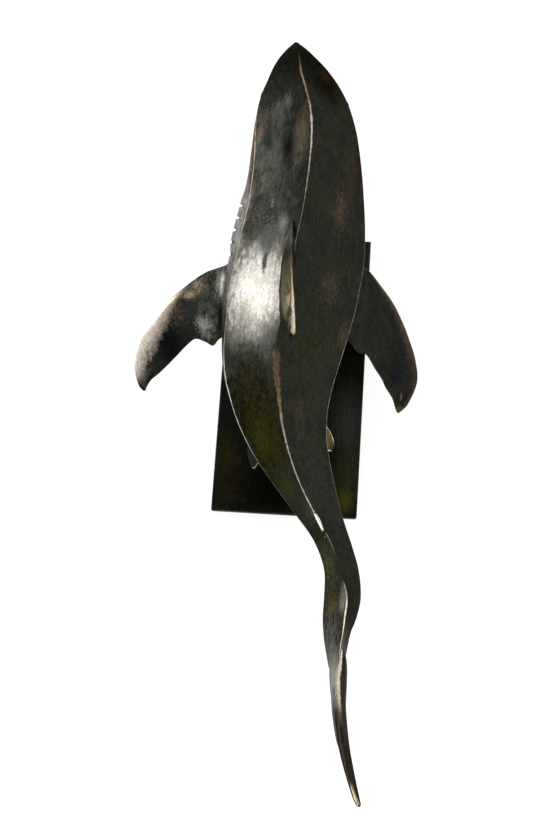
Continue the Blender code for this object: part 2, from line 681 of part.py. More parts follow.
def root_place(ribs: list, share: float, skin: BVHTree) -> tuple:
    """The point where a fin's seam lies on the skin at a share of its chord, and the direction outwards."""
    inner = Vector(ribs[0].lead).lerp(Vector(ribs[0].trail), share)
    outer = Vector(ribs[1].lead).lerp(Vector(ribs[1].trail), share)
    outward = (outer - inner).normalized()
    met = skin.ray_cast(inner, outward)[0]
    return met or outer, outward


def add_dowel(name: str, root: Vector, outward: Vector, sizes: Dowel, joined: list) -> None:
    """A bronze dowel across a fin's seam, and its hole in each piece it joins."""
    start, end = root - outward * sizes.into_body, root + outward * sizes.into_fin
    rod(name, start, end, sizes.radius, CASTINGS, bronze("dowel_bronze"), PIN_SIDES)
    spare = outward * HOLE_GAP
    hole_radius = sizes.radius + HOLE_GAP
    hole = rod(f"{name}_hole", start - spare, end + spare, hole_radius, CASTINGS, sides=PIN_SIDES)
    for piece in joined:
        combine(piece, hole)


def add_fins(shell: bpy.types.Object, stock: bpy.types.Object) -> None:
    """The fins, their roots cut to lie just off the body's skin, with their dowels."""
    skin = loft("skin_clearance", body_rings(SHELL_FRONT_Y, CAUDAL_JOINT_Y - RING_STEP, SKIN_GAP))
    tree = skin_tree()
    look = bronze("fin_bronze", (0.11, 0.09, 0.06))
    for plan in FINS:
        fin = loft(plan.name, blade_rings(blend_ribs(plan.ribs)), look)
        combine(fin, skin)
        carrier = stock if plan.on_tail else shell
        for label, share in plan.shares.items():
            root, outward = root_place(plan.ribs, share, tree)
            add_dowel(f"{plan.name}_dowel_{label}", root, outward, plan.dowel, [fin, carrier])


def tenon_box(name: str, spare: float) -> bpy.types.Object:
    """The caudal fin's tenon, or its socket where it is made larger by spare."""
    middle_x = station_at(CAUDAL_JOINT_Y).centre_x
    half, tall = TENON_WIDTH / 2 + spare, TENON_HEIGHT / 2 + spare
    low = (middle_x - half, CAUDAL_JOINT_Y - TENON_SUNK, -tall)
    high = (middle_x + half, CAUDAL_JOINT_Y + TENON_LENGTH + spare, tall)
    return box(name, low, high, CASTINGS)


def make_caudal_fin(stock: bpy.types.Object) -> None:
    """Both lobes with the faired root, the tenon and its cross pin."""
    fin = loft("caudal_fin", blade_rings(CAUDAL), bronze("caudal_bronze"))
    root = loft("caudal_root", body_rings(CAUDAL_JOINT_Y + CAUDAL_ROOT_LAP, CAUDAL_ROOT_END_Y))
    combine(fin, root, "UNION")
    middle_x = station_at(CAUDAL_JOINT_Y).centre_x
    low = (middle_x - CUTTER_REACH, CAUDAL_JOINT_Y - GAP, -2 * CUTTER_REACH)
    high = (middle_x + CUTTER_REACH, CAUDAL_JOINT_Y + CUTTER_REACH, 2 * CUTTER_REACH)
    combine(fin, box("caudal_front", low, high, CASTINGS))
    combine(fin, tenon_box("caudal_tenon", 0.0), "UNION")
    combine(stock, tenon_box("caudal_socket", GAP))
    middle = station_at(CAUDAL_JOINT_Y + TENON_LENGTH / 2)
    centre = Vector((middle.centre_x, middle.y, 0))
    reach = Vector((middle.half_width * TENON_PIN_REACH, 0, 0))
    look = bronze("pin_bronze")
    rod("caudal_tenon_pin", centre - reach, centre + reach, TENON_PIN_RADIUS, CASTINGS, look, PIN_SIDES)
    reach.x += HOLE_SPARE
    hole_radius = TENON_PIN_RADIUS + HOLE_GAP
    hole = rod("caudal_pin_hole", centre - reach, centre + reach, hole_radius, CASTINGS, sides=PIN_SIDES)
    combine(fin, hole)
    combine(stock, hole)


def add_boss_and_post(shell: bpy.types.Object) -> None:
    """The belly boss and its hole, and the post with its collar."""
    top = BOSS_BOTTOM_Z + BOSS_HEIGHT
    roof = top - BOSS_ROOF
    boss_profile = [
        (0.0, top),
        (BOSS_RADIUS, top),
        (BOSS_RADIUS, BOSS_BOTTOM_Z),
        (BORE_RADIUS, BOSS_BOTTOM_Z),
        (BORE_RADIUS, roof),
        (0.0, roof),
    ]
    turned("belly_boss", boss_profile, STUD_AXIS, bronze("boss_bronze"))
    low, high = Vector((0, 0, BOSS_BOTTOM_Z - BOSS_HEIGHT)), Vector((0, 0, top + SHELL_WALL))
    combine(shell, rod("boss_hole", low, high, BOSS_RADIUS + HOLE_GAP, STUD_AXIS))
    foot, head = PLINTH_TOP_Z + GAP, BOSS_BOTTOM_Z - GAP
    post_profile = [
        (BORE_RADIUS, head),
        (POST_RADIUS, head),
        (POST_RADIUS - POST_WAIST, head - POST_LENGTH * POST_WAIST_AT),
        (POST_RADIUS, head - POST_LENGTH * POST_SWELL_AT),
        (POST_FOOT_RADIUS, foot + COLLAR_HEIGHT + GAP),
        (POST_FOOT_RADIUS, foot),
        (BORE_RADIUS, foot),
    ]
    turned("support_post", post_profile, STUD_AXIS, bronze("post_bronze"))
    inner, collar_top = POST_FOOT_RADIUS + GAP, foot + COLLAR_HEIGHT
    collar_profile = [
        (inner, collar_top),
        (COLLAR_RADIUS - COLLAR_CHAMFER, collar_top),
        (COLLAR_RADIUS, collar_top - COLLAR_CHAMFER),
        (COLLAR_RADIUS, foot),
        (inner, foot),
    ]
    turned("post_collar", collar_profile, STUD_AXIS, bronze("collar_bronze"))


def add_ring(name: str, bottom: float, thick: float, rim: float) -> None:
    """A flat steel ring round the stud."""
    top = bottom + thick
    outer = BORE_RADIUS + rim
    profile = [(BORE_RADIUS, top), (outer, top), (outer, bottom), (BORE_RADIUS, bottom)]
    turned(name, profile, STUD_AXIS, steel("hardware_steel"))


def add_stud_hardware() -> None:
    """The stud with its washers and nut under the plinth's top."""
    add_ring("stud_washer", WASHER_BOTTOM_Z, WASHER_THICK, WASHER_RIM)
    add_ring("stud_spring_washer", SPRING_WASHER_BOTTOM_Z, SPRING_WASHER_THICK, SPRING_WASHER_RIM)
    low, high = Vector((0, 0, NUT_BOTTOM_Z)), Vector((0, 0, NUT_BOTTOM_Z + NUT_HEIGHT))
    nut = rod("stud_nut", low, high, BORE_RADIUS + NUT_RIM, STUD_AXIS, steel("hardware_steel"), sides=6)
    spare = Vector((0, 0, NUT_HEIGHT))
    combine(nut, rod("nut_bore", low - spare, high + spare, BORE_RADIUS, STUD_AXIS))
    bottom = Vector((0, 0, STUD_BOTTOM_Z))
    top = Vector((0, 0, BOSS_BOTTOM_Z + BOSS_HEIGHT - BOSS_ROOF - GAP))
    rod("post_stud", bottom, top, STUD_RADIUS, STUD_AXIS, steel("stud_steel"))


def plinth_block(
    name: str, inset: float, bottom: float, top: float, look=None, arris: float = 0.0
) -> bpy.types.Object:
    """A block with the plinth's outline drawn in by inset, its upright and top edges bevelled by arris."""
    shape = bmesh.new()
    bmesh.ops.create_cube(shape, size=1.0)
    size = Vector((PLINTH_WIDTH - 2 * inset, PLINTH_LENGTH - 2 * inset, top - bottom))
    bmesh.ops.scale(shape, vec=size, verts=shape.verts)
    for vert in shape.verts:
        if vert.co.x < 0 < vert.co.y:
            vert.co.x += PLINTH_TAPER
    if arris:
        kept = [edge for edge in shape.edges if any(vert.co.z > 0 for vert in edge.verts)]
        bmesh.ops.bevel(shape, geom=kept, offset=arris, segments=2, profile=0.5, affect="EDGES")
    return finish(name, shape, PLINTH_MIDDLE, look, (0.0, 0.0, (bottom + top) / 2))


def screw_places() -> list:
    """Names and centres of the four screws in the plinth's inside corners."""
    inset = PLINTH_WALL + BOARD_BOSS_RADIUS - BOARD_BOSS_BITE
    x, y = PLINTH_WIDTH / 2 - inset, PLINTH_LENGTH / 2 - inset
    return [
        ("front_left", PLINTH_TAPER - x, y),
        ("front_right", x, y),
        ("rear_left", -x, -y),
        ("rear_right", x, -y),
    ]


def make_plinth() -> bpy.types.Object:
    """The hollow plinth with a worn arris, its corner bosses and the stud's hole."""
    look = bronze("plinth_bronze", (0.05, 0.045, 0.03))
    plinth = plinth_block("plinth", 0.0, PLINTH_BOTTOM_Z, PLINTH_TOP_Z, look, PLINTH_ARRIS)
    hollow = plinth_block("plinth_hollow", PLINTH_WALL, PLINTH_BOTTOM_Z - HOLE_SPARE, CEILING_Z)
    for name, x, y in screw_places():
        foot, head = Vector((x, y, BOARD_TOP_Z + GAP)), Vector((x, y, CEILING_Z + HOLE_SPARE))
        combine(hollow, rod(f"board_boss_{name}", foot, head, BOARD_BOSS_RADIUS, PLINTH_MIDDLE))
    combine(plinth, hollow)
    low, high = Vector((0, 0, CEILING_Z - HOLE_SPARE)), Vector((0, 0, PLINTH_TOP_Z + HOLE_SPARE))
    combine(plinth, rod("stud_hole", low, high, BORE_RADIUS, STUD_AXIS))
    return plinth


def screw_profile(spare: float) -> list:
    """A countersunk screw's outline from its tip to its head, or its hole's with spare room."""
    start = PLINTH_BOTTOM_Z + GAP
    shank = BOARD_SCREW_RADIUS + spare
    head = BOARD_SCREW_RADIUS + BOARD_SCREW_HEAD_RIM + spare
    tip = start + BOARD_SCREW_LENGTH + spare
    bottom = start - 4 * spare
    profile = [(0.0, tip), (shank, tip), (shank, start + BOARD_SCREW_HEAD_HEIGHT), (head, start)]
    return profile + ([(head, bottom)] if spare else []) + [(0.0, bottom)]


def make_board(plinth: bpy.types.Object) -> None:
    """The closing board with its countersunk screws."""
    look = material("board_wood", (0.42, 0.3, 0.17), 0.0, 0.7)
    board = plinth_block("base_board", PLINTH_WALL + GAP, PLINTH_BOTTOM_Z, BOARD_TOP_Z, look)
    for name, x, y in screw_places():
        shank, hole = screw_profile(0.0), screw_profile(HOLE_GAP)
        turned(f"board_screw_{name}", shank, PLINTH_MIDDLE, steel("screw_steel"), (x, y), PIN_SIDES)
        cut = turned(f"screw_hole_{name}", hole, PLINTH_MIDDLE, centre=(x, y), sides=PIN_SIDES)
        combine(board, cut)
        combine(plinth, cut)


def main() -> None:
    """Clears the scene and builds the sculpture."""
    for old in list(bpy.data.objects):
        bpy.data.objects.remove(old, do_unlink=True)
    for group in (PARTS, CUTTERS):
        bpy.context.scene.collection.children.link(bpy.data.collections.new(group))
    for name, place in CARRIERS.items():
        carrier = bpy.data.objects.new(name, None)
        carrier.location = Vector(place) * MM
        bpy.data.collections[PARTS].objects.link(carrier)
    shell = make_body_shell()
    add_eyes(shell)
    cut_gills(shell)
    cut_mouth(shell)
    stock = make_tail_stock()
    pin_tail_joint(shell, stock)
    add_core_plugs(shell)
    add_fins(shell, stock)
    make_caudal_fin(stock)
    add_boss_and_post(shell)
    add_stud_hardware()
    plinth = make_plinth()
    make_board(plinth)
    felt = material("felt", (0.03, 0.05, 0.035), 0.0, 0.95)
    plinth_block("felt_sheet", FELT_INSET, 0.0, FELT_THICK, felt)


main()
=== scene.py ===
"""Dresses the bronze shark: fine castings over the CAD frame, worn patina with painted highlights,
reflections and shade, plinth, studio and camera.

The frame is the CAD's: +Z up, +Y towards the nose, +X to the shark's right. Tables are in millimetres, with
the body's heights counted from its middle, and become metres where a piece is made.
"""

import logging
import math
from dataclasses import dataclass, field, fields, replace
from enum import Enum

import bmesh
import bpy
from mathutils import Matrix, Vector, noise
from mathutils.bvhtree import BVHTree


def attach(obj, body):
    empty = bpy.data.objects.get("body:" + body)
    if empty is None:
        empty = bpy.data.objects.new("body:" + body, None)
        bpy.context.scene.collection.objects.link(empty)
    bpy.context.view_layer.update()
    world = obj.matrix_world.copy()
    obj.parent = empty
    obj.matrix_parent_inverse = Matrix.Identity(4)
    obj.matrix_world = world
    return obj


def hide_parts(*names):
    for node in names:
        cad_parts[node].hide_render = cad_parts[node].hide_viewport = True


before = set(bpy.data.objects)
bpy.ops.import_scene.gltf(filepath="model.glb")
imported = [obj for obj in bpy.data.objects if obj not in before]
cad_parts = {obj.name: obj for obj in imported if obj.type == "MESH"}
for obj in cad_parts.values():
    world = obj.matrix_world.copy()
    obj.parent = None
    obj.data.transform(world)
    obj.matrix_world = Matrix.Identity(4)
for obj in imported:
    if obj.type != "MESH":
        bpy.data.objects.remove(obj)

LOG = logging.getLogger("shark")

MM = 0.001
ROOT = "root"
BODY_Z = 125.6
PLINTH_TOP_Z = 22.0
# Vertices this close are merged, and a cut this close to a vertex passes through it
MERGE_MM = 1e-4
CUT_MM = 0.02
# Faces that meet at more than this keep a crisp edge
SHARP_FROM = math.radians(40)
# Further from an edge than any rubbing reaches
FAR_MM = 30.0
# Nearly all of a noise lies between these
NOISE = {"From Min": 0.3, "From Max": 0.7}


class Side(Enum):
    """The shark's own left and right."""

    LEFT = "left"
    RIGHT = "right"


class Ridge(Enum):
    """The names of the attributes that measure, in millimetres, how far the skin is from an edge."""

    DORSAL = "dorsal_mm"
    LEFT = "left_mm"
    RIGHT = "right_mm"
    LEAD = "lead_mm"
    TRAIL = "trail_mm"
    TIP = "tip_mm"
    SIDE = "side_mm"


def srgb(code: str) -> tuple[float, float, float, float]:
    """Turns a written colour into the linear one that the shader takes.

    Args:
        code: Six hexadecimal digits, as sRGB.

    Returns:
        The linear red, green and blue, and an alpha of one.
    """
    parts = [int(code[start : start + 2], 16) / 255 for start in (0, 2, 4)]
    linear = [part / 12.92 if part <= 0.04045 else ((part + 0.055) / 1.055) ** 2.4 for part in parts]
    return (*linear, 1.0)


def live(node: bpy.types.Node) -> bpy.types.NodeSocket:
    """The first output that the node's settings leave in use."""
    return next(output for output in node.outputs if output.enabled)


def add_node(
    tree: bpy.types.NodeTree, kind: str, inputs: dict | None = None, **settings: str | bool
) -> bpy.types.Node:
    """Adds a node with its settings and links.

    Args:
        tree: The node tree that takes the node.
        kind: Blender's name for the node's kind, without "ShaderNode".
        inputs: By input name or number: a value, a socket, or a node whose first live output is meant.
        settings: The node's own properties.

    Returns:
        The new node.
    """
    node = tree.nodes.new("ShaderNode" + kind)
    for key, value in settings.items():
        setattr(node, key, value)
    for key, value in (inputs or {}).items():
        socket = node.inputs[key]
        if isinstance(value, bpy.types.Node):
            value = live(value)
        if isinstance(value, bpy.types.NodeSocket):
            tree.links.new(value, socket)
        else:
            socket.default_value = value
    return node


def new_material(name: str) -> tuple[bpy.types.Material, bpy.types.NodeTree]:
    """Starts a material.

    Args:
        name: The material's name.

    Returns:
        The material and its node tree.
    """
    made = bpy.data.materials.new(name)
    made.use_nodes = True
    return made, made.node_tree


def finish_shader(tree: bpy.types.NodeTree, wired: dict, fixed: dict) -> None:
    """Sets a material's own shader.

    Args:
        tree: The material's node tree.
        wired: Nodes by the name of the shader's input that they drive.
        fixed: Values by the name of the input that they set.
    """
    shader = tree.nodes["Principled BSDF"]
    for key, node in wired.items():
        tree.links.new(live(node), shader.inputs[key])
    for key, value in fixed.items():
        shader.inputs[key].default_value = value


def smooth_step(value: float) -> float:
    """Eases a number between nought and one, and holds it there outside."""
    held = min(max(value, 0.0), 1.0)
    return held * held * (3.0 - 2.0 * held)


def spline(before: float, start: float, end: float, after: float, part: float) -> float:
    """A point on the smooth curve through evenly spaced values.

    Args:
        before: The value ahead of the span.
        start: The value where the span starts.
        end: The value where the span ends.
        after: The value past the span.
        part: How far along the span, from nought to one.

    Returns:
        The curve's value there.
    """
    square, cube = part * part, part**3
    return 0.5 * (
        2 * start
        + (end - before) * part
        + (2 * before - 5 * start + 4 * end - after) * square
        + (3 * start - before - 3 * end + after) * cube
    )


@dataclass(frozen=True)
class Station:
    """One cross-section of the body, square to Y."""

    y: float
    centre_x: float
    half_width: float
    ridge_x: float
    ridge_up: float
    belly_down: float
    roll: float
    left_bulge: float
    crown: float
    full: float


STATIONS = (
    Station(245, -11.4, 2.6, -11.4, 1.6, 1.6, 2, 0.0, 0.2, 0.50),
    Station(242, -10.6, 6.4, -10.6, 3.8, 3.2, 3, 0.0, 0.4, 0.50),
    Station(236, -9.2, 12.4, -9.4, 8.0, 6.5, 5, 0.0, 0.8, 0.55),
    Station(227, -6.9, 19.8, -8.0, 13.5, 10.5, 6, 0.0, 1.2, 0.58),
    Station(215, -4.4, 27.4, -6.0, 19.0, 15.0, 7, 0.5, 1.6, 0.60),
    Station(200, -2.2, 34.0, -1.6, 25.0, 21.0, 8, 2.0, 2.0, 0.60),
    Station(180, 0.2, 38.8, 3.0, 31.0, 28.0, 9, 6.0, 2.2, 0.60),
    Station(160, 2.2, 41.0, 4.6, 35.5, 34.0, 9, 11.0, 2.4, 0.60),
    Station(140, 3.8, 42.4, 4.2, 39.0, 39.0, 9, 16.0, 2.4, 0.60),
    Station(120, 4.4, 44.2, 2.9, 42.0, 43.0, 9, 21.0, 2.4, 0.60),
    Station(100, 3.8, 46.5, 0.9, 44.5, 46.0, 9, 24.0, 2.4, 0.60),
    Station(80, 2.3, 48.5, -2.2, 46.0, 48.0, 9, 23.0, 2.4, 0.60),
    Station(60, 0.0, 49.2, -5.1, 46.5, 49.5, 9, 21.0, 2.4, 0.60),
    Station(40, -2.5, 48.9, -7.6, 46.5, 49.5, 9, 18.0, 2.4, 0.60),
    Station(20, -5.0, 47.1, -9.9, 45.5, 48.0, 9, 13.0, 2.4, 0.60),
    Station(0, -7.6, 44.8, -11.7, 43.5, 46.0, 9, 9.0, 2.2, 0.60),
    Station(-20, -9.0, 41.2, -10.9, 41.0, 43.0, 8, 5.0, 2.0, 0.60),
    Station(-40, -7.6, 36.6, -7.9, 38.0, 39.5, 8, 2.0, 1.8, 0.60),
    Station(-60, -3.2, 32.4, -3.9, 34.5, 35.0, 7, 1.0, 1.5, 0.58),
    Station(-80, 4.6, 28.2, 2.5, 31.0, 30.5, 6, 0.5, 1.2, 0.56),
    Station(-100, 15.0, 23.1, 11.2, 27.0, 26.0, 5, 0.0, 1.0, 0.54),
    Station(-120, 26.4, 17.9, 22.8, 23.0, 21.5, 4, 0.0, 0.5, 0.50),
    Station(-140, 38.0, 14.0, 35.5, 19.5, 17.5, 3, 0.0, 0.0, 0.42),
    Station(-160, 45.5, 13.2, 44.0, 16.5, 14.5, 2, 0.0, -0.8, 0.32),
    Station(-180, 47.3, 13.8, 50.0, 17.0, 14.0, 1, 0.0, -1.2, 0.26),
    Station(-195, 45.9, 12.6, 49.0, 21.5, 16.5, 1, 0.0, -1.2, 0.26),
    Station(-205, 44.7, 10.4, 48.0, 26.0, 20.0, 0, 0.0, -1.0, 0.28),
    Station(-215, 44.6, 8.7, 46.4, 32.0, 22.5, 0, 0.0, -0.6, 0.30),
    Station(-232, 45.5, 5.6, 46.2, 42.0, 20.0, 0, 0.0, 0.0, 0.34),
)
NOSE_TIP = Vector((-11.7, 246.2, -0.5))
TAIL_JOINT_Y = -95.0
CAUDAL_JOINT_Y = -205.0
SEAM = 0.05


@dataclass(frozen=True)
class Ring:
    """The skin's points round one section, with each point's way over the skin to the ridges."""

    points: list[Vector]
    ways: dict[Ridge, list[float]]


@dataclass(frozen=True)
class BodyLines:
    """The body's lines, from which a section is read at any place along it."""

    ridge_round: float = 1.0
    most_round: float = 0.3
    upper_steps: int = 27
    lower_steps: int = 34
    handles: tuple[float, float] = (0.33, 0.67)
    belly_lean: float = 0.6

    def station_at(self, y: float) -> Station:
        """Reads the section's sizes at a place.

        Args:
            y: The place along the body.

        Returns:
            A station there, on smooth curves through the table.
        """
        last = len(STATIONS) - 1
        index = 0
        while index < last - 1 and STATIONS[index + 1].y > y:
            index += 1
        before, start = STATIONS[max(index - 1, 0)], STATIONS[index]
        end, after = STATIONS[index + 1], STATIONS[min(index + 2, last)]
        span = end.y - start.y
        part = min(max((y - start.y) / span, 0.0), 1.0)
        square, cube = part * part, part**3
        values = {}
        for size in fields(Station):
            low, high = getattr(start, size.name), getattr(end, size.name)
            slope_in = (high - getattr(before, size.name)) / (end.y - before.y) * span
            slope_out = (getattr(after, size.name) - low) / (after.y - start.y) * span
            values[size.name] = (
                (2 * cube - 3 * square + 1) * low
                + (cube - 2 * square + part) * slope_in
                + (3 * square - 2 * cube) * high
                + (cube - square) * slope_out
            )
        return replace(Station(**values), y=y)

    def corners(self, station: Station) -> tuple[Vector, Vector, Vector, Vector]:
        """Places a section's four corners.

        Args:
            station: The section's sizes.

        Returns:
            The dorsal ridge, the right flank ridge, the belly and the left flank ridge.
        """
        lift = math.sin(math.radians(station.roll)) * station.half_width
        ridge = Vector((station.ridge_x, station.y, station.ridge_up))
        right = Vector((station.centre_x + station.half_width, station.y, -lift))
        belly = Vector((station.centre_x - lift * self.belly_lean, station.y, -station.belly_down))
        left = Vector((station.centre_x - station.half_width, station.y, lift))
        return ridge, right, belly, left

    def corners_at(self, y: float) -> tuple[Vector, Vector, Vector, Vector]:
        """The four corners of the section at a place."""
        return self.corners(self.station_at(y))

    def domed(self, start: Vector, end: Vector, crown: float) -> tuple[Vector, Vector]:
        """The two handles of an upper face, lifted by its crown."""
        out = Vector((start.z - end.z, 0, end.x - start.x)).normalized() * crown
        return start.lerp(end, self.handles[0]) + out, start.lerp(end, self.handles[1]) + out

    def quarter(self, curve: tuple[Vector, ...], count: int, head: bool, tail: bool) -> list[Vector]:
        """Points of one quarter of the section, clear of the ridges that are rounded off.

        Args:
            curve: The quarter's start, its two handles and its end.
            count: How many steps it takes.
            head: Whether it starts at a rounded ridge.
            tail: Whether it ends at one.

        Returns:
            The points.
        """
        start, pull, push, end = curve
        cut = min(self.ridge_round / max((end - start).length, 0.1), self.most_round)
        low, high = (cut if head else 0.0), (1.0 - cut if tail else 1.0)
        points = []
        for step in range(count + 1):
            t = low + (high - low) * step / count
            leaving = start * (1 - t) ** 3 + pull * (3 * (1 - t) ** 2 * t)
            points.append(leaving + push * (3 * (1 - t) * t * t) + end * t**3)
        return points

    def rounded(self, before: Vector, corner: Vector, after: Vector) -> list[Vector]:
        """Three points that round off a corner."""
        return [before * (1 - t) ** 2 + corner * (2 * t * (1 - t)) + after * t * t for t in (0.25, 0.5, 0.75)]

    def section(self, y: float) -> Ring:
        """Reads the skin round the body at a place.

        Args:
            y: The place along the body.

        Returns:
            The ring, from the dorsal ridge over the right flank, the belly and the left flank.
        """
        station = self.station_at(y)
        ridge, right, belly, left = self.corners(station)
        full, up, down = station.full, self.upper_steps, self.lower_steps
        right_down = right + Vector((0, 0, (belly.z - right.z) * full))
        left_down = left + Vector((-station.left_bulge, 0, (belly.z - left.z) * full))
        beside_right = belly + Vector(((right.x - belly.x) * full, 0, 0))
        beside_left = belly + Vector(((left.x - belly.x) * full, 0, 0))
        quarters = [
            self.quarter((ridge, *self.domed(ridge, right, station.crown), right), up, True, True),
            self.quarter((right, right_down, beside_right, belly), down, True, False),
            self.quarter((belly, beside_left, left_down, left), down, False, True),
            self.quarter((left, *self.domed(left, ridge, station.crown), ridge), up, True, True),
        ]
        top = self.rounded(quarters[3][-1], ridge, quarters[0][0])
        points = top[1:] + quarters[0]
        right_at = len(points) + 1
        points += self.rounded(quarters[0][-1], right, quarters[1][0]) + quarters[1] + quarters[2][1:]
        left_at = len(points) + 1
        points += self.rounded(quarters[2][-1], left, quarters[3][0]) + quarters[3] + top[:1]
        run = [0.0]
        for here, following in zip(points, points[1:] + points[:1]):
            run.append(run[-1] + (following - here).length)
        total = run.pop()
        ways = {
            Ridge.DORSAL: [min(way, total - way) for way in run],
            Ridge.LEFT: [abs(way - run[left_at]) for way in run],
            Ridge.RIGHT: [abs(way - run[right_at]) for way in run],
            Ridge.SIDE: [-way if way < total / 2 else total - way for way in run],
        }
        return Ring(points, ways)


LINES = BodyLines()


def tube(
    shape: bmesh.types.BMesh, rows: list[list[Vector]], ways: dict[Ridge, list[list[float]]]
) -> None:
    """Rolls a grid into a tube that passes through rows of points, and closes it.

    Args:
        shape: The mesh that takes the tube.
        rows: Rings of the same count.
        ways: For each attribute, its value at every point of every ring.
    """
    around = len(rows[0])
    made = bmesh.ops.create_grid(shape, x_segments=around, y_segments=len(rows) - 1, size=1.0)["verts"]
    layers = {ridge: shape.verts.layers.float.get(ridge.value) for ridge in ways}
    for row, ring in enumerate(rows):
        for column in range(around + 1):
            vert = made[row * (around + 1) + column]
            vert.co = ring[column % around]
            for ridge, values in ways.items():
                vert[layers[ridge]] = values[row][column % around]
    bmesh.ops.remove_doubles(shape, verts=made, dist=MERGE_MM)
    touched = {edge for vert in made if vert.is_valid for edge in vert.link_edges}
    bmesh.ops.holes_fill(shape, edges=[edge for edge in touched if edge.is_boundary], sides=0)


def cut_faces(
    shape: bmesh.types.BMesh, faces: list[bmesh.types.BMFace], point: Vector, across: Vector
) -> None:
    """Cuts some of a mesh's faces along a plane.

    Args:
        shape: The mesh.
        faces: The faces.
        point: A point of the plane.
        across: The plane's normal.
    """
    edges = {edge for face in faces for edge in face.edges}
    verts = {vert for face in faces for vert in face.verts}
    bmesh.ops.bisect_plane(shape, geom=[*faces, *edges, *verts], dist=CUT_MM, plane_co=point, plane_no=across)


def settle(
    name: str, shape: bmesh.types.BMesh, finish: bpy.types.Material, node: str, lift: float = 0.0
) -> None:
    """Makes a piece in metres, in place, riding on the body and standing for its CAD node.

    Args:
        name: The piece's name.
        shape: The mesh in millimetres.
        finish: Its material.
        node: The CAD node that it stands for.
        lift: How far the mesh's own zero lies above the table.
    """
    bmesh.ops.translate(shape, vec=(0, 0, lift), verts=shape.verts)
    bmesh.ops.recalc_face_normals(shape, faces=shape.faces)
    bmesh.ops.scale(shape, vec=(MM, MM, MM), verts=shape.verts)
    mesh = bpy.data.meshes.new(name)
    shape.to_mesh(mesh)
    shape.free()
    mesh.materials.append(finish)
    mesh.shade_smooth()
    mesh.set_sharp_from_angle(angle=SHARP_FROM)
    piece = bpy.data.objects.new(name, mesh)
    bpy.context.scene.collection.objects.link(piece)
    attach(piece, ROOT)
    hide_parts(node)
    LOG.info("%s: %d faces, stands for %s", name, len(mesh.polygons), node)


class Edge(Enum):
    """How a patch ends: the millimetres of what breaks its rim, how far in, and how softly it fades."""

    SOFT = ((14.0, 14.0, 14.0), 0.7, 0.9)
    RAGGED = ((4.0, 5.5, 4.0), 1.7, 0.55)
    SPECKLED = ((1.0, 1.4, 1.0), 3.0, 0.8)
    BRUSHED = ((1.3, 13.0, 1.6), 2.0, 0.9)
    MOTTLED = ((4.5, 7.0, 4.5), 5.0, 1.1)
    FLECKED = ((1.8, 2.6, 1.8), 4.5, 1.9)


class Axis(Enum):
    """The way along which a crest's wear changes."""

    X = 0
    Y = 1
    Z = 2


@dataclass(frozen=True)
class Patch:
    """A place where hands, files or the torch left another colour, or where light and shade are painted as
    highlights, reflections and shadows, with heights from the body's middle.

    A patch with a side stops at the dorsal ridge.
    """

    middle: tuple[float, float, float]
    reach: tuple[float, float, float]
    colour: str
    strength: float = 1.0
    edge: Edge = Edge.RAGGED
    side: Side | None = None


@dataclass(frozen=True)
class Stop:
    """The wear and painted highlight at one place along a crest: how wide it is, its colour and how much of
    it shows.
    """

    at: float
    wide: float
    colour: str
    shown: float = 1.0


@dataclass(frozen=True)
class Crest:
    """A ridge or edge lined bright by wear, and on the shark's crests partly by a painted highlight, with
    stops along one axis in millimetres.
    """

    ridge: Ridge
    axis: Axis
    stops: tuple[Stop, ...]
    ragged: float = 0.6


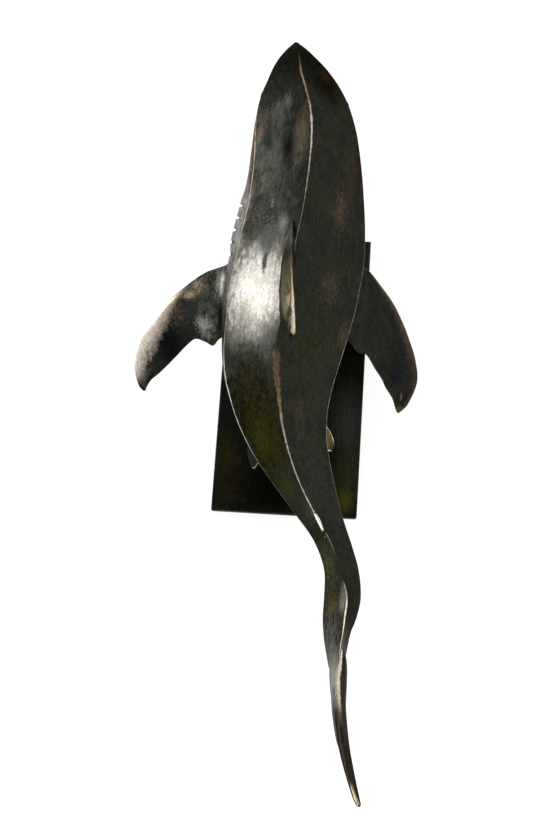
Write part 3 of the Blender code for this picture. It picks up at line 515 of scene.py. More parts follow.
@dataclass(frozen=True)
class PatinatedBronze:
    """Cast bronze, chased with files, darkened with liver of sulphur, waxed, and rubbed bright on its crests.

    The eye sees a nearly black skin with brown and olive clouds, fine brush marks along the form, and thin
    gold lines where hands and cloth have worn the crests through. Some crest lines and pale patches are also
    painted highlights and reflections, and some dark patches are painted shade.
    """

    name: str
    crests: tuple[Crest, ...] = ()
    patches: tuple[Patch, ...] = ()
    filed: tuple[Patch, ...] = ()
    dark: str = "282925"
    brown: str = "32312b"
    olive: str = "2c2f20"
    cloud_mm: float = 24.0
    # Where in the noises the brown and the olive clouds start and are full
    brown_from: float = 0.42
    brown_full: float = 0.62
    olive_from: float = 0.56
    olive_full: float = 0.68
    rough: tuple[float, float] = (0.30, 0.44)
    worn_rough: float = 0.3
    # How far each texture lightens and darkens the colour
    brushed: float = 0.26
    grained: float = 0.45
    pitted: float = 0.2
    # The span of the noise that the file marks take, and the tones at its ends
    file_marks: tuple[float, float, float, float] = (0.42, 0.58, 0.5, 1.7)
    brush_relief: float = 0.6
    rim_spill: float = 0.2
    # A patch of one side fades over this many millimetres at the dorsal ridge
    side_fade: tuple[float, float] = (-0.3, 0.9)
    # The sooty patina dulls the bronze's edge-on shine
    edge_tint: str = "b0b0b0"

    def sources(self, tree: bpy.types.NodeTree) -> dict[str, bpy.types.Node]:
        """Adds the place in millimetres and the textures that the layers share.

        Args:
            tree: The material's node tree.

        Returns:
            The nodes by name.
        """
        coords = add_node(tree, "TexCoord").outputs
        place = add_node(tree, "VectorMath", {0: coords["Object"], "Scale": 1 / MM}, operation="SCALE")
        found = {"place": place}
        # Brush marks are 0.9 mm wide and 22 mm long, and grain is 0.7 mm. File marks are 1.5 mm apart and
        # 15 mm long, coarser than a real file's, so that they show
        sizes = {
            "clouds": (self.cloud_mm,) * 3,
            "olive": (self.cloud_mm * 0.6, self.cloud_mm * 0.9, self.cloud_mm * 0.6),
            "brush": (0.9, 22.0, 1.2),
            "grain": (0.7, 0.9, 0.7),
            "pitting": (2.2, 3.4, 2.2),
            "file": (15.0, 1.5, 1.5),
        }
        sizes |= {edge.name: edge.value[0] for edge in Edge}
        for name, size in sizes.items():
            per_mm = tuple(1 / mm for mm in size)
            scaled = add_node(tree, "VectorMath", {0: place, 1: per_mm}, operation="MULTIPLY")
            noisy = {"Vector": scaled, "Scale": 1.0, "Detail": 5.0, "Roughness": 0.6}
            found[name] = add_node(tree, "TexNoise", noisy)
        return found

    def mask(
        self, tree: bpy.types.NodeTree, source: dict[str, bpy.types.Node], patch: Patch
    ) -> bpy.types.Node:
        """Marks one patch, full in its middle and broken at its rim.

        Args:
            tree: The material's node tree.
            source: The shared nodes.
            patch: The patch.

        Returns:
            How much of the patch shows, from nought to its strength.
        """
        x, y, z = patch.middle
        from_middle = {0: source["place"], 1: (x, y, z + BODY_Z)}
        centred = add_node(tree, "VectorMath", from_middle, operation="SUBTRACT")
        scaled = add_node(tree, "VectorMath", {0: centred, 1: patch.reach}, operation="DIVIDE")
        far = add_node(tree, "VectorMath", {0: scaled}, operation="LENGTH")
        _, rough_by, soft_by = patch.edge.value
        broken = {0: source[patch.edge.name], 1: rough_by, 2: far.outputs["Value"]}
        edge = add_node(tree, "Math", broken, operation="MULTIPLY_ADD")
        rim = 1.0 + rough_by / 2
        fading = {0: edge, "From Min": rim - soft_by, "From Max": rim + soft_by * self.rim_spill}
        fading |= {"To Min": patch.strength, "To Max": 0.0}
        shown = add_node(tree, "MapRange", fading, interpolation_type="SMOOTHSTEP")
        if patch.side is None:
            return shown
        way = add_node(tree, "Attribute", attribute_name=Ridge.SIDE.value)
        low, high = (end if patch.side is Side.LEFT else -end for end in self.side_fade)
        within = add_node(tree, "MapRange", {0: way.outputs["Fac"], "From Min": low, "From Max": high})
        return add_node(tree, "Math", {0: shown, 1: within}, operation="MULTIPLY")

    def lay_wear_and_highlight(
        self,
        tree: bpy.types.NodeTree,
        source: dict[str, bpy.types.Node],
        crest: Crest,
        colour: bpy.types.Node,
    ) -> tuple[bpy.types.Node, bpy.types.Node]:
        """Lays one crest's wear and painted highlight over a colour.

        Args:
            tree: The material's node tree.
            source: The shared nodes.
            crest: The crest.
            colour: The colour beneath.

        Returns:
            The new colour, and how much of the crest line shows, worn metal and painted highlight.
        """
        stops = sorted(crest.stops, key=lambda stop: stop.at)
        low, high = stops[0].at, stops[-1].at
        widest = max(stop.wide for stop in stops)
        parts = add_node(tree, "SeparateXYZ", {0: source["place"]})
        reading = {0: parts.outputs[crest.axis.value], "From Min": low, "From Max": high}
        along = add_node(tree, "MapRange", reading)
        tint = add_node(tree, "ValToRGB", {0: along})
        breadth = add_node(tree, "ValToRGB", {0: along})
        for ramp, values in (
            (tint.color_ramp, [(*srgb(stop.colour)[:3], stop.shown) for stop in stops]),
            (breadth.color_ramp, [(stop.wide / widest,) * 3 + (1.0,) for stop in stops]),
        ):
            for stop in stops[1:-1]:
                ramp.elements.new((stop.at - low) / (high - low))
            for element, value in zip(ramp.elements, values):
                element.color = value
        way = add_node(tree, "Attribute", attribute_name=crest.ridge.value)
        fraying = {"To Min": widest * (1.0 - crest.ragged), "To Max": widest * (1.0 + crest.ragged)}
        frayed = add_node(tree, "MapRange", {0: source[Edge.RAGGED.name], **NOISE, **fraying})
        reach = add_node(tree, "Math", {0: breadth, 1: frayed}, operation="MULTIPLY")
        fading = {0: way.outputs["Fac"], "From Min": 0.0, "From Max": reach, "To Min": 1.0, "To Max": 0.0}
        line = add_node(tree, "MapRange", fading, interpolation_type="SMOOTHSTEP")
        shown = add_node(tree, "Math", {0: line, 1: tint.outputs["Alpha"]}, operation="MULTIPLY")
        return add_node(tree, "Mix", {0: shown, 6: colour, 7: tint}, data_type="RGBA"), shown

    def make(self) -> bpy.types.Material:
        """Builds the material."""
        made, tree = new_material(self.name)
        source = self.sources(tree)
        clouded = {0: source["clouds"], "From Min": self.brown_from, "From Max": self.brown_full}
        tone = add_node(tree, "MapRange", clouded, interpolation_type="SMOOTHSTEP")
        colour = add_node(tree, "Mix", {0: tone, 6: srgb(self.dark), 7: srgb(self.brown)}, data_type="RGBA")
        tinged = {0: source["olive"], "From Min": self.olive_from, "From Max": self.olive_full}
        tinge = add_node(tree, "MapRange", tinged, interpolation_type="SMOOTHSTEP")
        colour = add_node(tree, "Mix", {0: tinge, 6: colour, 7: srgb(self.olive)}, data_type="RGBA")
        for patch in self.patches:
            shown = self.mask(tree, source, patch)
            colour = add_node(tree, "Mix", {0: shown, 6: colour, 7: srgb(patch.colour)}, data_type="RGBA")
        uneven = {"To Min": self.rough[0], "To Max": self.rough[1]}
        rough = add_node(tree, "MapRange", {0: source["clouds"], **NOISE, **uneven})
        for crest in self.crests:
            colour, shown = self.lay_wear_and_highlight(tree, source, crest, colour)
            rough = add_node(tree, "Mix", {0: shown, 2: rough, 3: self.worn_rough}, data_type="FLOAT")
        for name, spread in (("brush", self.brushed), ("grain", self.grained), ("pitting", self.pitted)):
            lifting = {"To Min": 1 - spread, "To Max": 1 + spread}
            lift = add_node(tree, "MapRange", {0: source[name], **NOISE, **lifting})
            colour = add_node(tree, "VectorMath", {0: colour, "Scale": lift}, operation="SCALE")
        heights = {0: source["brush"], 1: self.brush_relief, 2: source["grain"]}
        relief = add_node(tree, "Math", heights, operation="MULTIPLY_ADD")
        for patch in self.filed:
            shown = self.mask(tree, source, patch)
            scoring = dict(zip(("From Min", "From Max", "To Min", "To Max"), self.file_marks))
            mark = add_node(tree, "MapRange", {0: source["file"], **scoring})
            marked = add_node(tree, "VectorMath", {0: colour, "Scale": mark}, operation="SCALE")
            colour = add_node(tree, "Mix", {0: shown, 6: colour, 7: marked}, data_type="RGBA")
        bump = add_node(tree, "Bump", {"Height": relief, "Strength": 0.3, "Distance": 0.1 * MM})
        wired = {"Base Color": colour, "Roughness": rough, "Normal": bump}
        finish_shader(tree, wired, {"Metallic": 1.0, "Specular Tint": srgb(self.edge_tint)})
        return made


@dataclass(frozen=True)
class PlainFinish:
    """A hidden fitting's finish with faint clouds: turned or dulled bronze, plated steel, ply or felt."""

    name: str
    light: str
    deep: str
    metallic: float
    rough: float
    grain_mm: tuple[float, float, float] = (2.0, 2.0, 2.0)
    uneven: float = 0.06

    def make(self) -> bpy.types.Material:
        """Builds the material."""
        made, tree = new_material(self.name)
        coords = add_node(tree, "TexCoord").outputs
        per_metre = tuple(1 / (MM * size) for size in self.grain_mm)
        place = add_node(tree, "VectorMath", {0: coords["Object"], 1: per_metre}, operation="MULTIPLY")
        grain = add_node(tree, "TexNoise", {"Vector": place, "Scale": 1.0, "Detail": 5.0})
        colour = add_node(tree, "Mix", {0: grain, 6: srgb(self.deep), 7: srgb(self.light)}, data_type="RGBA")
        spread = {"To Min": self.rough - self.uneven, "To Max": self.rough + self.uneven}
        rough = add_node(tree, "MapRange", {0: grain, **spread})
        bump = add_node(tree, "Bump", {"Height": grain, "Strength": 0.2, "Distance": 0.1 * MM})
        wired = {"Base Color": colour, "Roughness": rough, "Normal": bump}
        finish_shader(tree, wired, {"Metallic": self.metallic})
        return made


@dataclass
class Gills:
    """Five leaning slits a side, each a narrow round-bottomed cut. The left skin swells a little there."""

    front_y: float = 116.0
    pitch: float = 9.8
    count: int = 5
    lean: float = -13.0
    below_ridge: float = 5.0
    span: float = 24.0
    depth: float = 2.4
    half: float = 1.3
    margin: float = 6.0
    off_middle: float = 10.0
    end_at: float = 1.1
    end_ease: float = 0.25
    swell: float = 1.3
    swell_ease: float = 16.0
    swell_rear_y: float = 78.0
    swell_down: float = 1.6

    def cut(self, shape: bmesh.types.BMesh) -> None:
        """Cuts the slits into the skin, and swells the left side.

        Args:
            shape: The body's mesh.
        """
        for index in range(self.count):
            y = self.front_y - index * self.pitch
            _, right, _, left = LINES.corners_at(y)
            for flank, sign in ((left, -1), (right, 1)):
                self.slit(shape, flank, sign, (left.x + right.x) / 2)
        self.swell_left(shape)

    def slit(self, shape: bmesh.types.BMesh, flank: Vector, sign: int, middle_x: float) -> None:
        """Cuts one slit.

        Args:
            shape: The body's mesh.
            flank: The flank ridge where the slit hangs.
            sign: Minus one on the left, one on the right.
            middle_x: Halfway between the flank ridges.
        """
        lean = math.radians(self.lean)
        across = Vector((0, math.cos(lean), -math.sin(lean)))
        centre = Vector((flank.x, flank.y, flank.z - self.below_ridge - self.span / 2))
        for shift in (-self.half, -self.half / 2, 0.0, self.half / 2, self.half):
            near = []
            for face in shape.faces:
                away = face.verts[0].co - centre
                outer = (face.verts[0].co.x - middle_x) * sign > self.off_middle
                if outer and abs(away.y) < self.pitch and abs(away.z) < self.span / 2 + self.margin:
                    near.append(face)
            cut_faces(shape, near, centre + across * shift, across)
        for vert in shape.verts:
            offset = vert.co - centre
            if abs(offset.y) > self.pitch or (vert.co.x - middle_x) * sign < self.off_middle:
                continue
            height = abs(offset.z) / (self.span / 2)
            notch = math.sqrt(max(0.0, 1.0 - (offset.dot(across) / self.half) ** 2))
            vert.co.x -= sign * self.depth * notch * smooth_step((self.end_at - height) / self.end_ease)

    def swell_left(self, shape: bmesh.types.BMesh) -> None:
        """Swells the left skin round the slits.

        Args:
            shape: The body's mesh.
        """
        front = self.front_y + self.swell_ease
        for vert in shape.verts:
            y = vert.co.y
            if not self.swell_rear_y < y < front:
                continue
            _, right, _, left = LINES.corners_at(y)
            if vert.co.x > (right.x + left.x) / 2:
                continue
            below = left.z - vert.co.z
            along = smooth_step((front - y) / self.swell_ease)
            along *= smooth_step((y - self.swell_rear_y) / self.pitch)
            down = smooth_step(below / self.below_ridge)
            down *= smooth_step((self.span * self.swell_down - below) / self.span)
            vert.co.x -= self.swell * along * down


@dataclass
class Mouth:
    """The closed mouth: a crescent groove round the underside of the snout, rising towards the front."""

    rear_y: float = 158.0
    middle_y: float = 190.0
    drop: float = 19.0
    tilt: float = 5.0
    half: float = 1.2
    depth: float = 2.2
    ease: float = 7.0
    margin: float = 4.0
    highest: float = -8.0

    def cut(self, shape: bmesh.types.BMesh) -> None:
        """Cuts the groove into the skin.

        Args:
            shape: The body's mesh.
        """
        lean = math.radians(self.tilt)
        across = Vector((0, -math.sin(lean), math.cos(lean)))
        middle = Vector((0, self.middle_y, -self.drop))
        for shift in (-1.0, -0.6, 0.0, 0.6, 1.0):
            corners = [(face, face.verts[0].co) for face in shape.faces]
            near = [face for face, at in corners if at.y > self.rear_y - self.margin and at.z < self.highest]
            cut_faces(shape, near, middle + across * (shift * self.half), across)
        shape.normal_update()
        for vert in shape.verts:
            offset = (vert.co - middle).dot(across) / self.half
            if abs(offset) < 1.0 and vert.co.y > self.rear_y and vert.co.z < 0:
                ends = smooth_step((vert.co.y - self.rear_y) / self.ease)
                vert.co -= vert.normal * (self.depth * math.sqrt(1.0 - offset**2) * ends)


@dataclass
class Body:
    """The head and trunk casting and the tail stock, chased to one form."""

    ring_step: float = 1.7
    close_step: float = 1.2
    close_y: tuple[float, float] = (78.0, 130.0)
    nose_rings: int = 6
    nose_end: float = 0.001
    gills: Gills = field(default_factory=Gills)
    mouth: Mouth = field(default_factory=Mouth)
    eye_radius: float = 3.7
    eye_y: float = 203.0
    eye_drop: float = 6.3
    eye_sunk: float = 3.5
    lid_radius: float = 2.7
    lid_round: float = 0.4
    dents_mm: tuple[float, float] = (17.0, 8.0)
    dents_all_over: tuple[float, float] = (0.1, 0.02)
    dents_on_head: tuple[float, float] = (0.5, 0.22)
    head_from_y: float = 95.0
    head_ease: float = 20.0
    crest_ease: float = 6.0

    def places(self, start_y: float, end_y: float) -> list[float]:
        """Where the rings lie, closer together along the gills.

        Args:
            start_y: The first ring.
            end_y: The last ring.

        Returns:
            The rings' places.
        """
        found = [start_y]
        while found[-1] > end_y:
            here = found[-1]
            close = self.close_y[0] < here < self.close_y[1]
            found.append(here - (self.close_step if close else self.ring_step))
        found[-1] = end_y
        return found

    def hammered(self, point: Vector) -> float:
        """How far the chasing lifts the skin: a little all over, and most on the head's left upper face.

        Args:
            point: A place on the skin.

        Returns:
            The height in millimetres.
        """
        left = 0.0
        if point.z > 0:
            left = smooth_step((LINES.station_at(point.y).ridge_x - point.x) / self.crest_ease)
        wide = noise.noise(point / self.dents_mm[0] + Vector((3.1, 0.0, 0.0)))
        close = noise.noise(point / self.dents_mm[1] + Vector((0.0, 9.2, 0.0)))
        head = smooth_step((point.y - self.head_from_y) / self.head_ease) * left
        wide_by, close_by = (low + more * head for low, more in zip(self.dents_all_over, self.dents_on_head))
        return wide * wide_by + close * close_by

    def skin(self, start_y: float, end_y: float, nose: bool) -> bmesh.types.BMesh:
        """Lofts the skin between two places.

        Args:
            start_y: The front end.
            end_y: The rear end.
            nose: Whether the front end is the nose.

        Returns:
            The closed mesh, in millimetres from the body's middle height.
        """
        shape = bmesh.new()
        rings = [LINES.section(y) for y in self.places(start_y, end_y)]
        rows = [ring.points for ring in rings]
        ways = {ridge: [ring.ways[ridge] for ring in rings] for ridge in rings[0].ways}
        for ridge in ways:
            shape.verts.layers.float.new(ridge.value)
        middle = Vector((NOSE_TIP.x, start_y, NOSE_TIP.z))
        for step in range(1, self.nose_rings + 1 if nose else 1):
            turn = step / self.nose_rings * math.pi / 2
            shrink, least = math.cos(turn), self.nose_end
            ahead = Vector((0, (NOSE_TIP.y - start_y) * math.sin(turn), 0))
            row = [middle + (point - middle) * max(shrink, least) + ahead for point in rings[0].points]
            rows.insert(0, row)
            for ridge, values in ways.items():
                values.insert(0, [way * shrink for way in rings[0].ways[ridge]])
        tube(shape, rows, ways)
        bmesh.ops.recalc_face_normals(shape, faces=shape.faces)
        shape.normal_update()
        for vert in shape.verts:
            vert.co += vert.normal * self.hammered(vert.co)
        return shape

    def add_eye(self, shape: bmesh.types.BMesh, seat: BVHTree, side: Side) -> None:
        """Sets a low eye with its lid under a flank ridge.

        Args:
            shape: The body's mesh.
            seat: The body's skin.
            side: Which side.
        """
        _, right, _, left = LINES.corners_at(self.eye_y)
        flank, inward = (left, 1) if side is Side.LEFT else (right, -1)
        centre = flank + Vector((inward * self.eye_sunk, 0, -self.eye_drop))
        upright = Matrix.Rotation(math.radians(90), 4, "Y")
        ball = bmesh.ops.create_uvsphere(shape, u_segments=40, v_segments=24, radius=self.eye_radius)["verts"]
        bmesh.ops.transform(shape, matrix=Matrix.Translation(centre) @ upright, verts=ball)
        place, normal, _, _ = seat.find_nearest(centre - Vector((inward * 2 * self.eye_radius, 0, 0)))
        before = set(shape.verts)
        section = bmesh.ops.create_circle(shape, cap_ends=False, radius=self.lid_round, segments=12)["verts"]
        edges = list({edge for vert in section for edge in vert.link_edges})
        lie = Matrix.Translation((self.lid_radius, 0, 0)) @ Matrix.Rotation(math.radians(90), 4, "X")
        bmesh.ops.transform(shape, matrix=lie, verts=section)
        about = {"cent": (0, 0, 0), "axis": (0, 0, 1), "angle": math.tau}
        bmesh.ops.spin(shape, geom=[*section, *edges], steps=40, use_merge=True, **about)
        ring = [vert for vert in shape.verts if vert not in before]
        settle_in = Matrix.Translation(place) @ normal.to_track_quat("Z", "Y").to_matrix().to_4x4()
        bmesh.ops.transform(shape, matrix=settle_in, verts=ring)
        for ridge in (Ridge.DORSAL, Ridge.LEFT, Ridge.RIGHT):
            layer = shape.verts.layers.float[ridge.value]
            for vert in ball + ring:
                vert[layer] = FAR_MM

    def build(self, finish: bpy.types.Material) -> tuple[BVHTree, BVHTree]:
        """Builds both castings.

        Args:
            finish: Their material.

        Returns:
            The skins of the body and of the tail stock in millimetres, for seating the fins.
        """
        shell = self.skin(STATIONS[0].y, TAIL_JOINT_Y, True)
        self.gills.cut(shell)
        self.mouth.cut(shell)
        seat = BVHTree.FromBMesh(shell)
        for side in Side:
            self.add_eye(shell, seat, side)
        settle("body_casting", shell, finish, "body_shell", BODY_Z)
        stock = self.skin(TAIL_JOINT_Y - SEAM, CAUDAL_JOINT_Y, False)
        tail_seat = BVHTree.FromBMesh(stock)
        settle("tail_casting", stock, finish, "tail_stock", BODY_Z)
        return seat, tail_seat


@dataclass(frozen=True)
class Rib:
    """One rib of a fin: its leading and trailing points and its thickness."""

    lead: tuple[float, float, float]
    trail: tuple[float, float, float]
    thick: float


PECTORAL_LEFT = (
    Rib((-38, 72, -12), (-38, 21, -18), 12.0),
    Rib((-54, 70.5, -18), (-56.5, 14.5, -26), 11.5),
    Rib((-63, 68, -21), (-62.5, 8.8, -31), 9.8),
    Rib((-71.5, 64.8, -23), (-69.5, 12, -34), 8.8),
    Rib((-81, 59, -28), (-77.5, 14.4, -38.5), 7.5),
    Rib((-91.6, 50.8, -33), (-84.5, 9.5, -43.5), 6.5),
    Rib((-100.5, 43, -38), (-92, 2, -50), 5.6),
    Rib((-108.2, 33.9, -43), (-99, -5, -55), 5.0),
    Rib((-116.5, 24, -49.5), (-106.5, -12, -60), 4.3),
    Rib((-123.7, 12.9, -56), (-112.5, -17, -63.5), 3.6),
    Rib((-126.6, -5.7, -63), (-116.2, -23, -66.5), 3.0),
    Rib((-124.6, -16.4, -66.2), (-116.6, -24.8, -68.6), 2.6),
    Rib((-122.2, -22.2, -68.0), (-118.6, -25.6, -69.1), 1.5),
)
PECTORAL_RIGHT = (
    Rib((33, 76, -19), (32, 24, -27), 12.0),
    Rib((47, 77, -25), (44, 18, -34), 11.5),
    Rib((55.5, 75, -30), (51, 11.8, -42), 9.5),
    Rib((66.1, 64.6, -36), (58, 11, -46.5), 8.0),
    Rib((76.7, 53.1, -43), (65.8, 1.8, -56), 6.5),
    Rib((85.7, 39.2, -50), (72, -5.5, -62), 5.4),
    Rib((92.8, 25, -56), (76, -12, -66), 4.6),
    Rib((98.4, 11.7, -63), (82, -19.5, -71.5), 3.8),
    Rib((101.2, -5.2, -68), (84.5, -25.5, -75), 3.0),
    Rib((95.5, -22.5, -74), (86.5, -29.5, -77.5), 2.2),
    Rib((91, -27.5, -76.5), (88, -30.5, -78.3), 1.4),
)
FIRST_DORSAL = (
    Rib((-5.6, 95, 34), (-9.4, 18, 32), 9.0),
    Rib((-5.4, 93, 41.5), (-9.2, 16, 42), 8.6),
    Rib((-5.6, 83, 48.5), (-8.4, 17.5, 50), 8.2),
    Rib((-5.2, 70, 59), (-7.2, 15, 60), 7.8),
    Rib((-4.4, 55, 71), (-5.8, 11.5, 71), 7.2),
    Rib((-3.4, 41, 81.5), (-4.4, 7, 81), 6.6),
    Rib((-2.2, 29, 89.5), (-2.8, 2.5, 88.5), 5.8),
    Rib((-1.5, 19.5, 94.5), (-2.5, -3.2, 93), 5.8),
    Rib((-0.9, 12.5, 97.0), (-2.1, -5.6, 95.0), 5.6),
    Rib((-0.6, 7.5, 98.1), (-1.7, -5.6, 96.6), 5.0),
    Rib((-0.5, 3.5, 98.7), (-1.1, -3.4, 98.0), 3.6),
    Rib((-0.6, 1.0, 98.9), (-0.8, -1.4, 98.8), 1.6),
)
SECOND_DORSAL = (
    Rib((22.5, -119, 14), (32, -136, 11), 4.6),
    Rib((22.6, -119.5, 24), (31.5, -134, 20), 4.2),
    Rib((26, -125.5, 29.5), (31, -135.5, 26), 3.4),
    Rib((29, -131.5, 33), (31.2, -137.5, 31), 2.0),
)
ANAL = (
    Rib((30, -127, -10), (39, -144, -8), 6.0),
    Rib((31, -127, -20), (39.5, -143, -17.5), 5.6),
    Rib((34, -134, -27), (39.8, -145.5, -24), 3.8),
    Rib((37, -140, -31), (40.3, -148, -29.5), 2.0),
)
PELVIC_LEFT = (
    Rib((-14, -50, -18), (-8, -72, -18), 6.0),
    Rib((-24, -52, -24), (-17, -76, -24), 5.6),
    Rib((-28.5, -60, -29), (-21.5, -81, -28.5), 4.2),
    Rib((-30.6, -70, -32), (-24, -84.8, -31), 3.0),
    Rib((-29.5, -77.5, -34), (-26, -85.5, -33.5), 1.8),
)
PELVIC_RIGHT = (
    Rib((12, -42, -22), (12, -62, -22), 6.0),
    Rib((22, -44, -28), (20, -63, -28), 5.6),
    Rib((30, -50, -33.5), (26, -66, -33.5), 4.2),
    Rib((34.5, -57, -37), (30.5, -67.5, -37), 3.0),
    Rib((36.2, -63, -39.5), (34, -68, -39.5), 1.8),
)
CAUDAL = (
    Rib((54.5, -297, -74), (55, -299.5, -73), 1.5),
    Rib((52, -288, -69), (54, -297, -64), 3.0),
    Rib((49.5, -274, -57), (52.5, -291, -50), 4.5),
    Rib((47.5, -258, -43), (50.8, -284, -35), 6.0),
    Rib((46.5, -242, -31), (49.5, -277, -20), 7.5),
    Rib((46, -226, -21), (48.5, -271, -8), 9.0),
    Rib((45.6, -214, -10), (46.8, -267, 2), 10.5),
    Rib((45.4, -211, 8), (46.8, -266, 12), 11.0),
    Rib((47.0, -216, 24), (47.2, -268, 20), 11.0),
    Rib((46.4, -228, 39.0), (47.8, -272, 29), 10.5),
    Rib((45.6, -240, 48), (49.3, -278, 42), 9.6),
    Rib((46.8, -254, 58), (51, -285, 55), 8.6),
    Rib((48.8, -271, 71), (53.6, -293, 69), 7.6),
    Rib((51.8, -285, 82.5), (56, -300, 81), 6.6),
    Rib((54.8, -298, 91.5), (59.2, -306.5, 91), 5.4),
    Rib((57.8, -307.5, 99), (61.2, -312, 99), 4.4),
    Rib((60.2, -312, 102.6), (61.6, -314.2, 102.8), 3.2),
    Rib((60.8, -313, 103.2), (61.4, -313.9, 103.3), 1.6),
)


@dataclass
class FinCasting:
    """One fin: its ribs, how finely it is drawn, and the small fillet where it is let into the body."""

    node: str
    ribs: tuple[Rib, ...]
    fillet: float = 3.5
    fillet_rise: float = 0.5
    blunt: float = 0.08
    nose: float = 0.5
    thinning: float = 0.9
    slot: str = "fin_bronze"
    chord_steps: int = 26
    span_steps: int = 6

    def swell(self, along: float) -> float:
        """The blade's half thickness along its chord, as a share of the greatest."""
        fullest = self.nose / (self.nose + self.thinning)
        peak = fullest**self.nose * (1 - fullest) ** self.thinning
        return along**self.nose * (1 - along) ** self.thinning / peak + self.blunt * along

    def rib_at(self, index: int, part: float) -> Rib:
        """Reads a rib between two of the table's.

        Args:
            index: The rib that the span starts at.
            part: How far along the span.

        Returns:
            The rib there.
        """
        last = len(self.ribs) - 1
        four = [self.ribs[min(max(place, 0), last)] for place in (index - 1, index, index + 1, index + 2)]
        lead = tuple(spline(*(rib.lead[axis] for rib in four), part) for axis in range(3))
        trail = tuple(spline(*(rib.trail[axis] for rib in four), part) for axis in range(3))
        return Rib(lead, trail, spline(*(rib.thick for rib in four), part))

    def drawn(self) -> bmesh.types.BMesh:
        """Lofts the blade, in millimetres from the body's middle height."""
        steps = [(index, step) for index in range(len(self.ribs) - 1) for step in range(self.span_steps)]
        ribs = [self.rib_at(index, step / self.span_steps) for index, step in steps]
        ribs.append(self.ribs[-1])
        centres = [(Vector(rib.lead) + Vector(rib.trail)) / 2 for rib in ribs]
        count = self.chord_steps
        parts = [(1 - math.cos(math.pi * step / count)) / 2 for step in range(count + 1)]
        along = [*parts, 1.0, *parts[:0:-1]]
        rows = []
        ways = {ridge: [] for ridge in (Ridge.LEAD, Ridge.TRAIL, Ridge.TIP, Ridge.SIDE)}
        for index, rib in enumerate(ribs):
            lead, trail, half = Vector(rib.lead), Vector(rib.trail), rib.thick / 2
            chord = trail - lead
            span = centres[min(index + 1, len(ribs) - 1)] - centres[max(index - 1, 0)]
            across = chord.cross(span).normalized()
            ring = [lead.lerp(trail, part) + across * (half * self.swell(part)) for part in parts]
            ring.append(trail + chord.normalized() * (half * self.blunt))
            ring += [lead.lerp(trail, part) - across * (half * self.swell(part)) for part in parts[:0:-1]]
            rows.append(ring)
            ways[Ridge.LEAD].append([part * chord.length for part in along])
            ways[Ridge.TRAIL].append([(1 - part) * chord.length for part in along])
            ways[Ridge.TIP].append([(point - centres[-1]).length for point in ring])
            ways[Ridge.SIDE].append([lead.lerp(trail, part).x - point.x for point, part in zip(ring, along)])
        shape = bmesh.new()
        for ridge in ways:
            shape.verts.layers.float.new(ridge.value)
        tube(shape, rows, ways)
        return shape

    def join(self, shape: bmesh.types.BMesh, seat: BVHTree) -> None:
        """Raises the small fillet against the body's skin.

        Args:
            shape: The fin's mesh.
            seat: The body's skin.
        """
        bmesh.ops.recalc_face_normals(shape, faces=shape.faces)
        shape.normal_update()
        for vert in shape.verts:
            way = seat.find_nearest(vert.co)[3]
            if way is not None and way < self.fillet:
                vert.co += vert.normal * (self.fillet * self.fillet_rise * (1 - way / self.fillet) ** 2)

    def build(self, seat: BVHTree, finish: bpy.types.Material) -> None:
        """Builds the fin.

        Args:
            seat: The skin that carries it.
            finish: The fin's material.
        """
        shape = self.drawn()
        self.join(shape, seat)
        settle(self.node.replace("_fin", "") + "_casting", shape, finish, self.node, BODY_Z)


@dataclass
class CaudalCasting(FinCasting):
    """The caudal fin, whose faired root carries the tail stock's lines into the blade."""

    root_start_y: float = CAUDAL_JOINT_Y - SEAM
    root_end_y: float = -232.0
    root_rings: int = 20

    def join(self, shape: bmesh.types.BMesh, seat: BVHTree) -> None:
        """Cuts the blade off at the joint and adds the root.

        Args:
            shape: The fin's mesh.
            seat: The tail stock's skin, which the root continues; not used, as the root is lofted from the
                body's lines.
        """
        whole = [*shape.verts, *shape.edges, *shape.faces]
        joint = Vector((0, self.root_start_y, 0))
        bmesh.ops.bisect_plane(shape, geom=whole, plane_co=joint, plane_no=(0, 1, 0), clear_outer=True)
        bmesh.ops.holes_fill(shape, edges=[edge for edge in shape.edges if edge.is_boundary], sides=0)
        length = self.root_end_y - self.root_start_y
        places = [self.root_start_y + length * step / self.root_rings for step in range(self.root_rings + 1)]
        rings = [LINES.section(y) for y in places]
        far = [[FAR_MM] * len(ring.points) for ring in rings]
        dorsal, side = ([ring.ways[ridge] for ring in rings] for ridge in (Ridge.DORSAL, Ridge.SIDE))
        ways = {Ridge.LEAD: dorsal, Ridge.SIDE: side, Ridge.TRAIL: far, Ridge.TIP: far}
        tube(shape, [ring.points for ring in rings], ways)


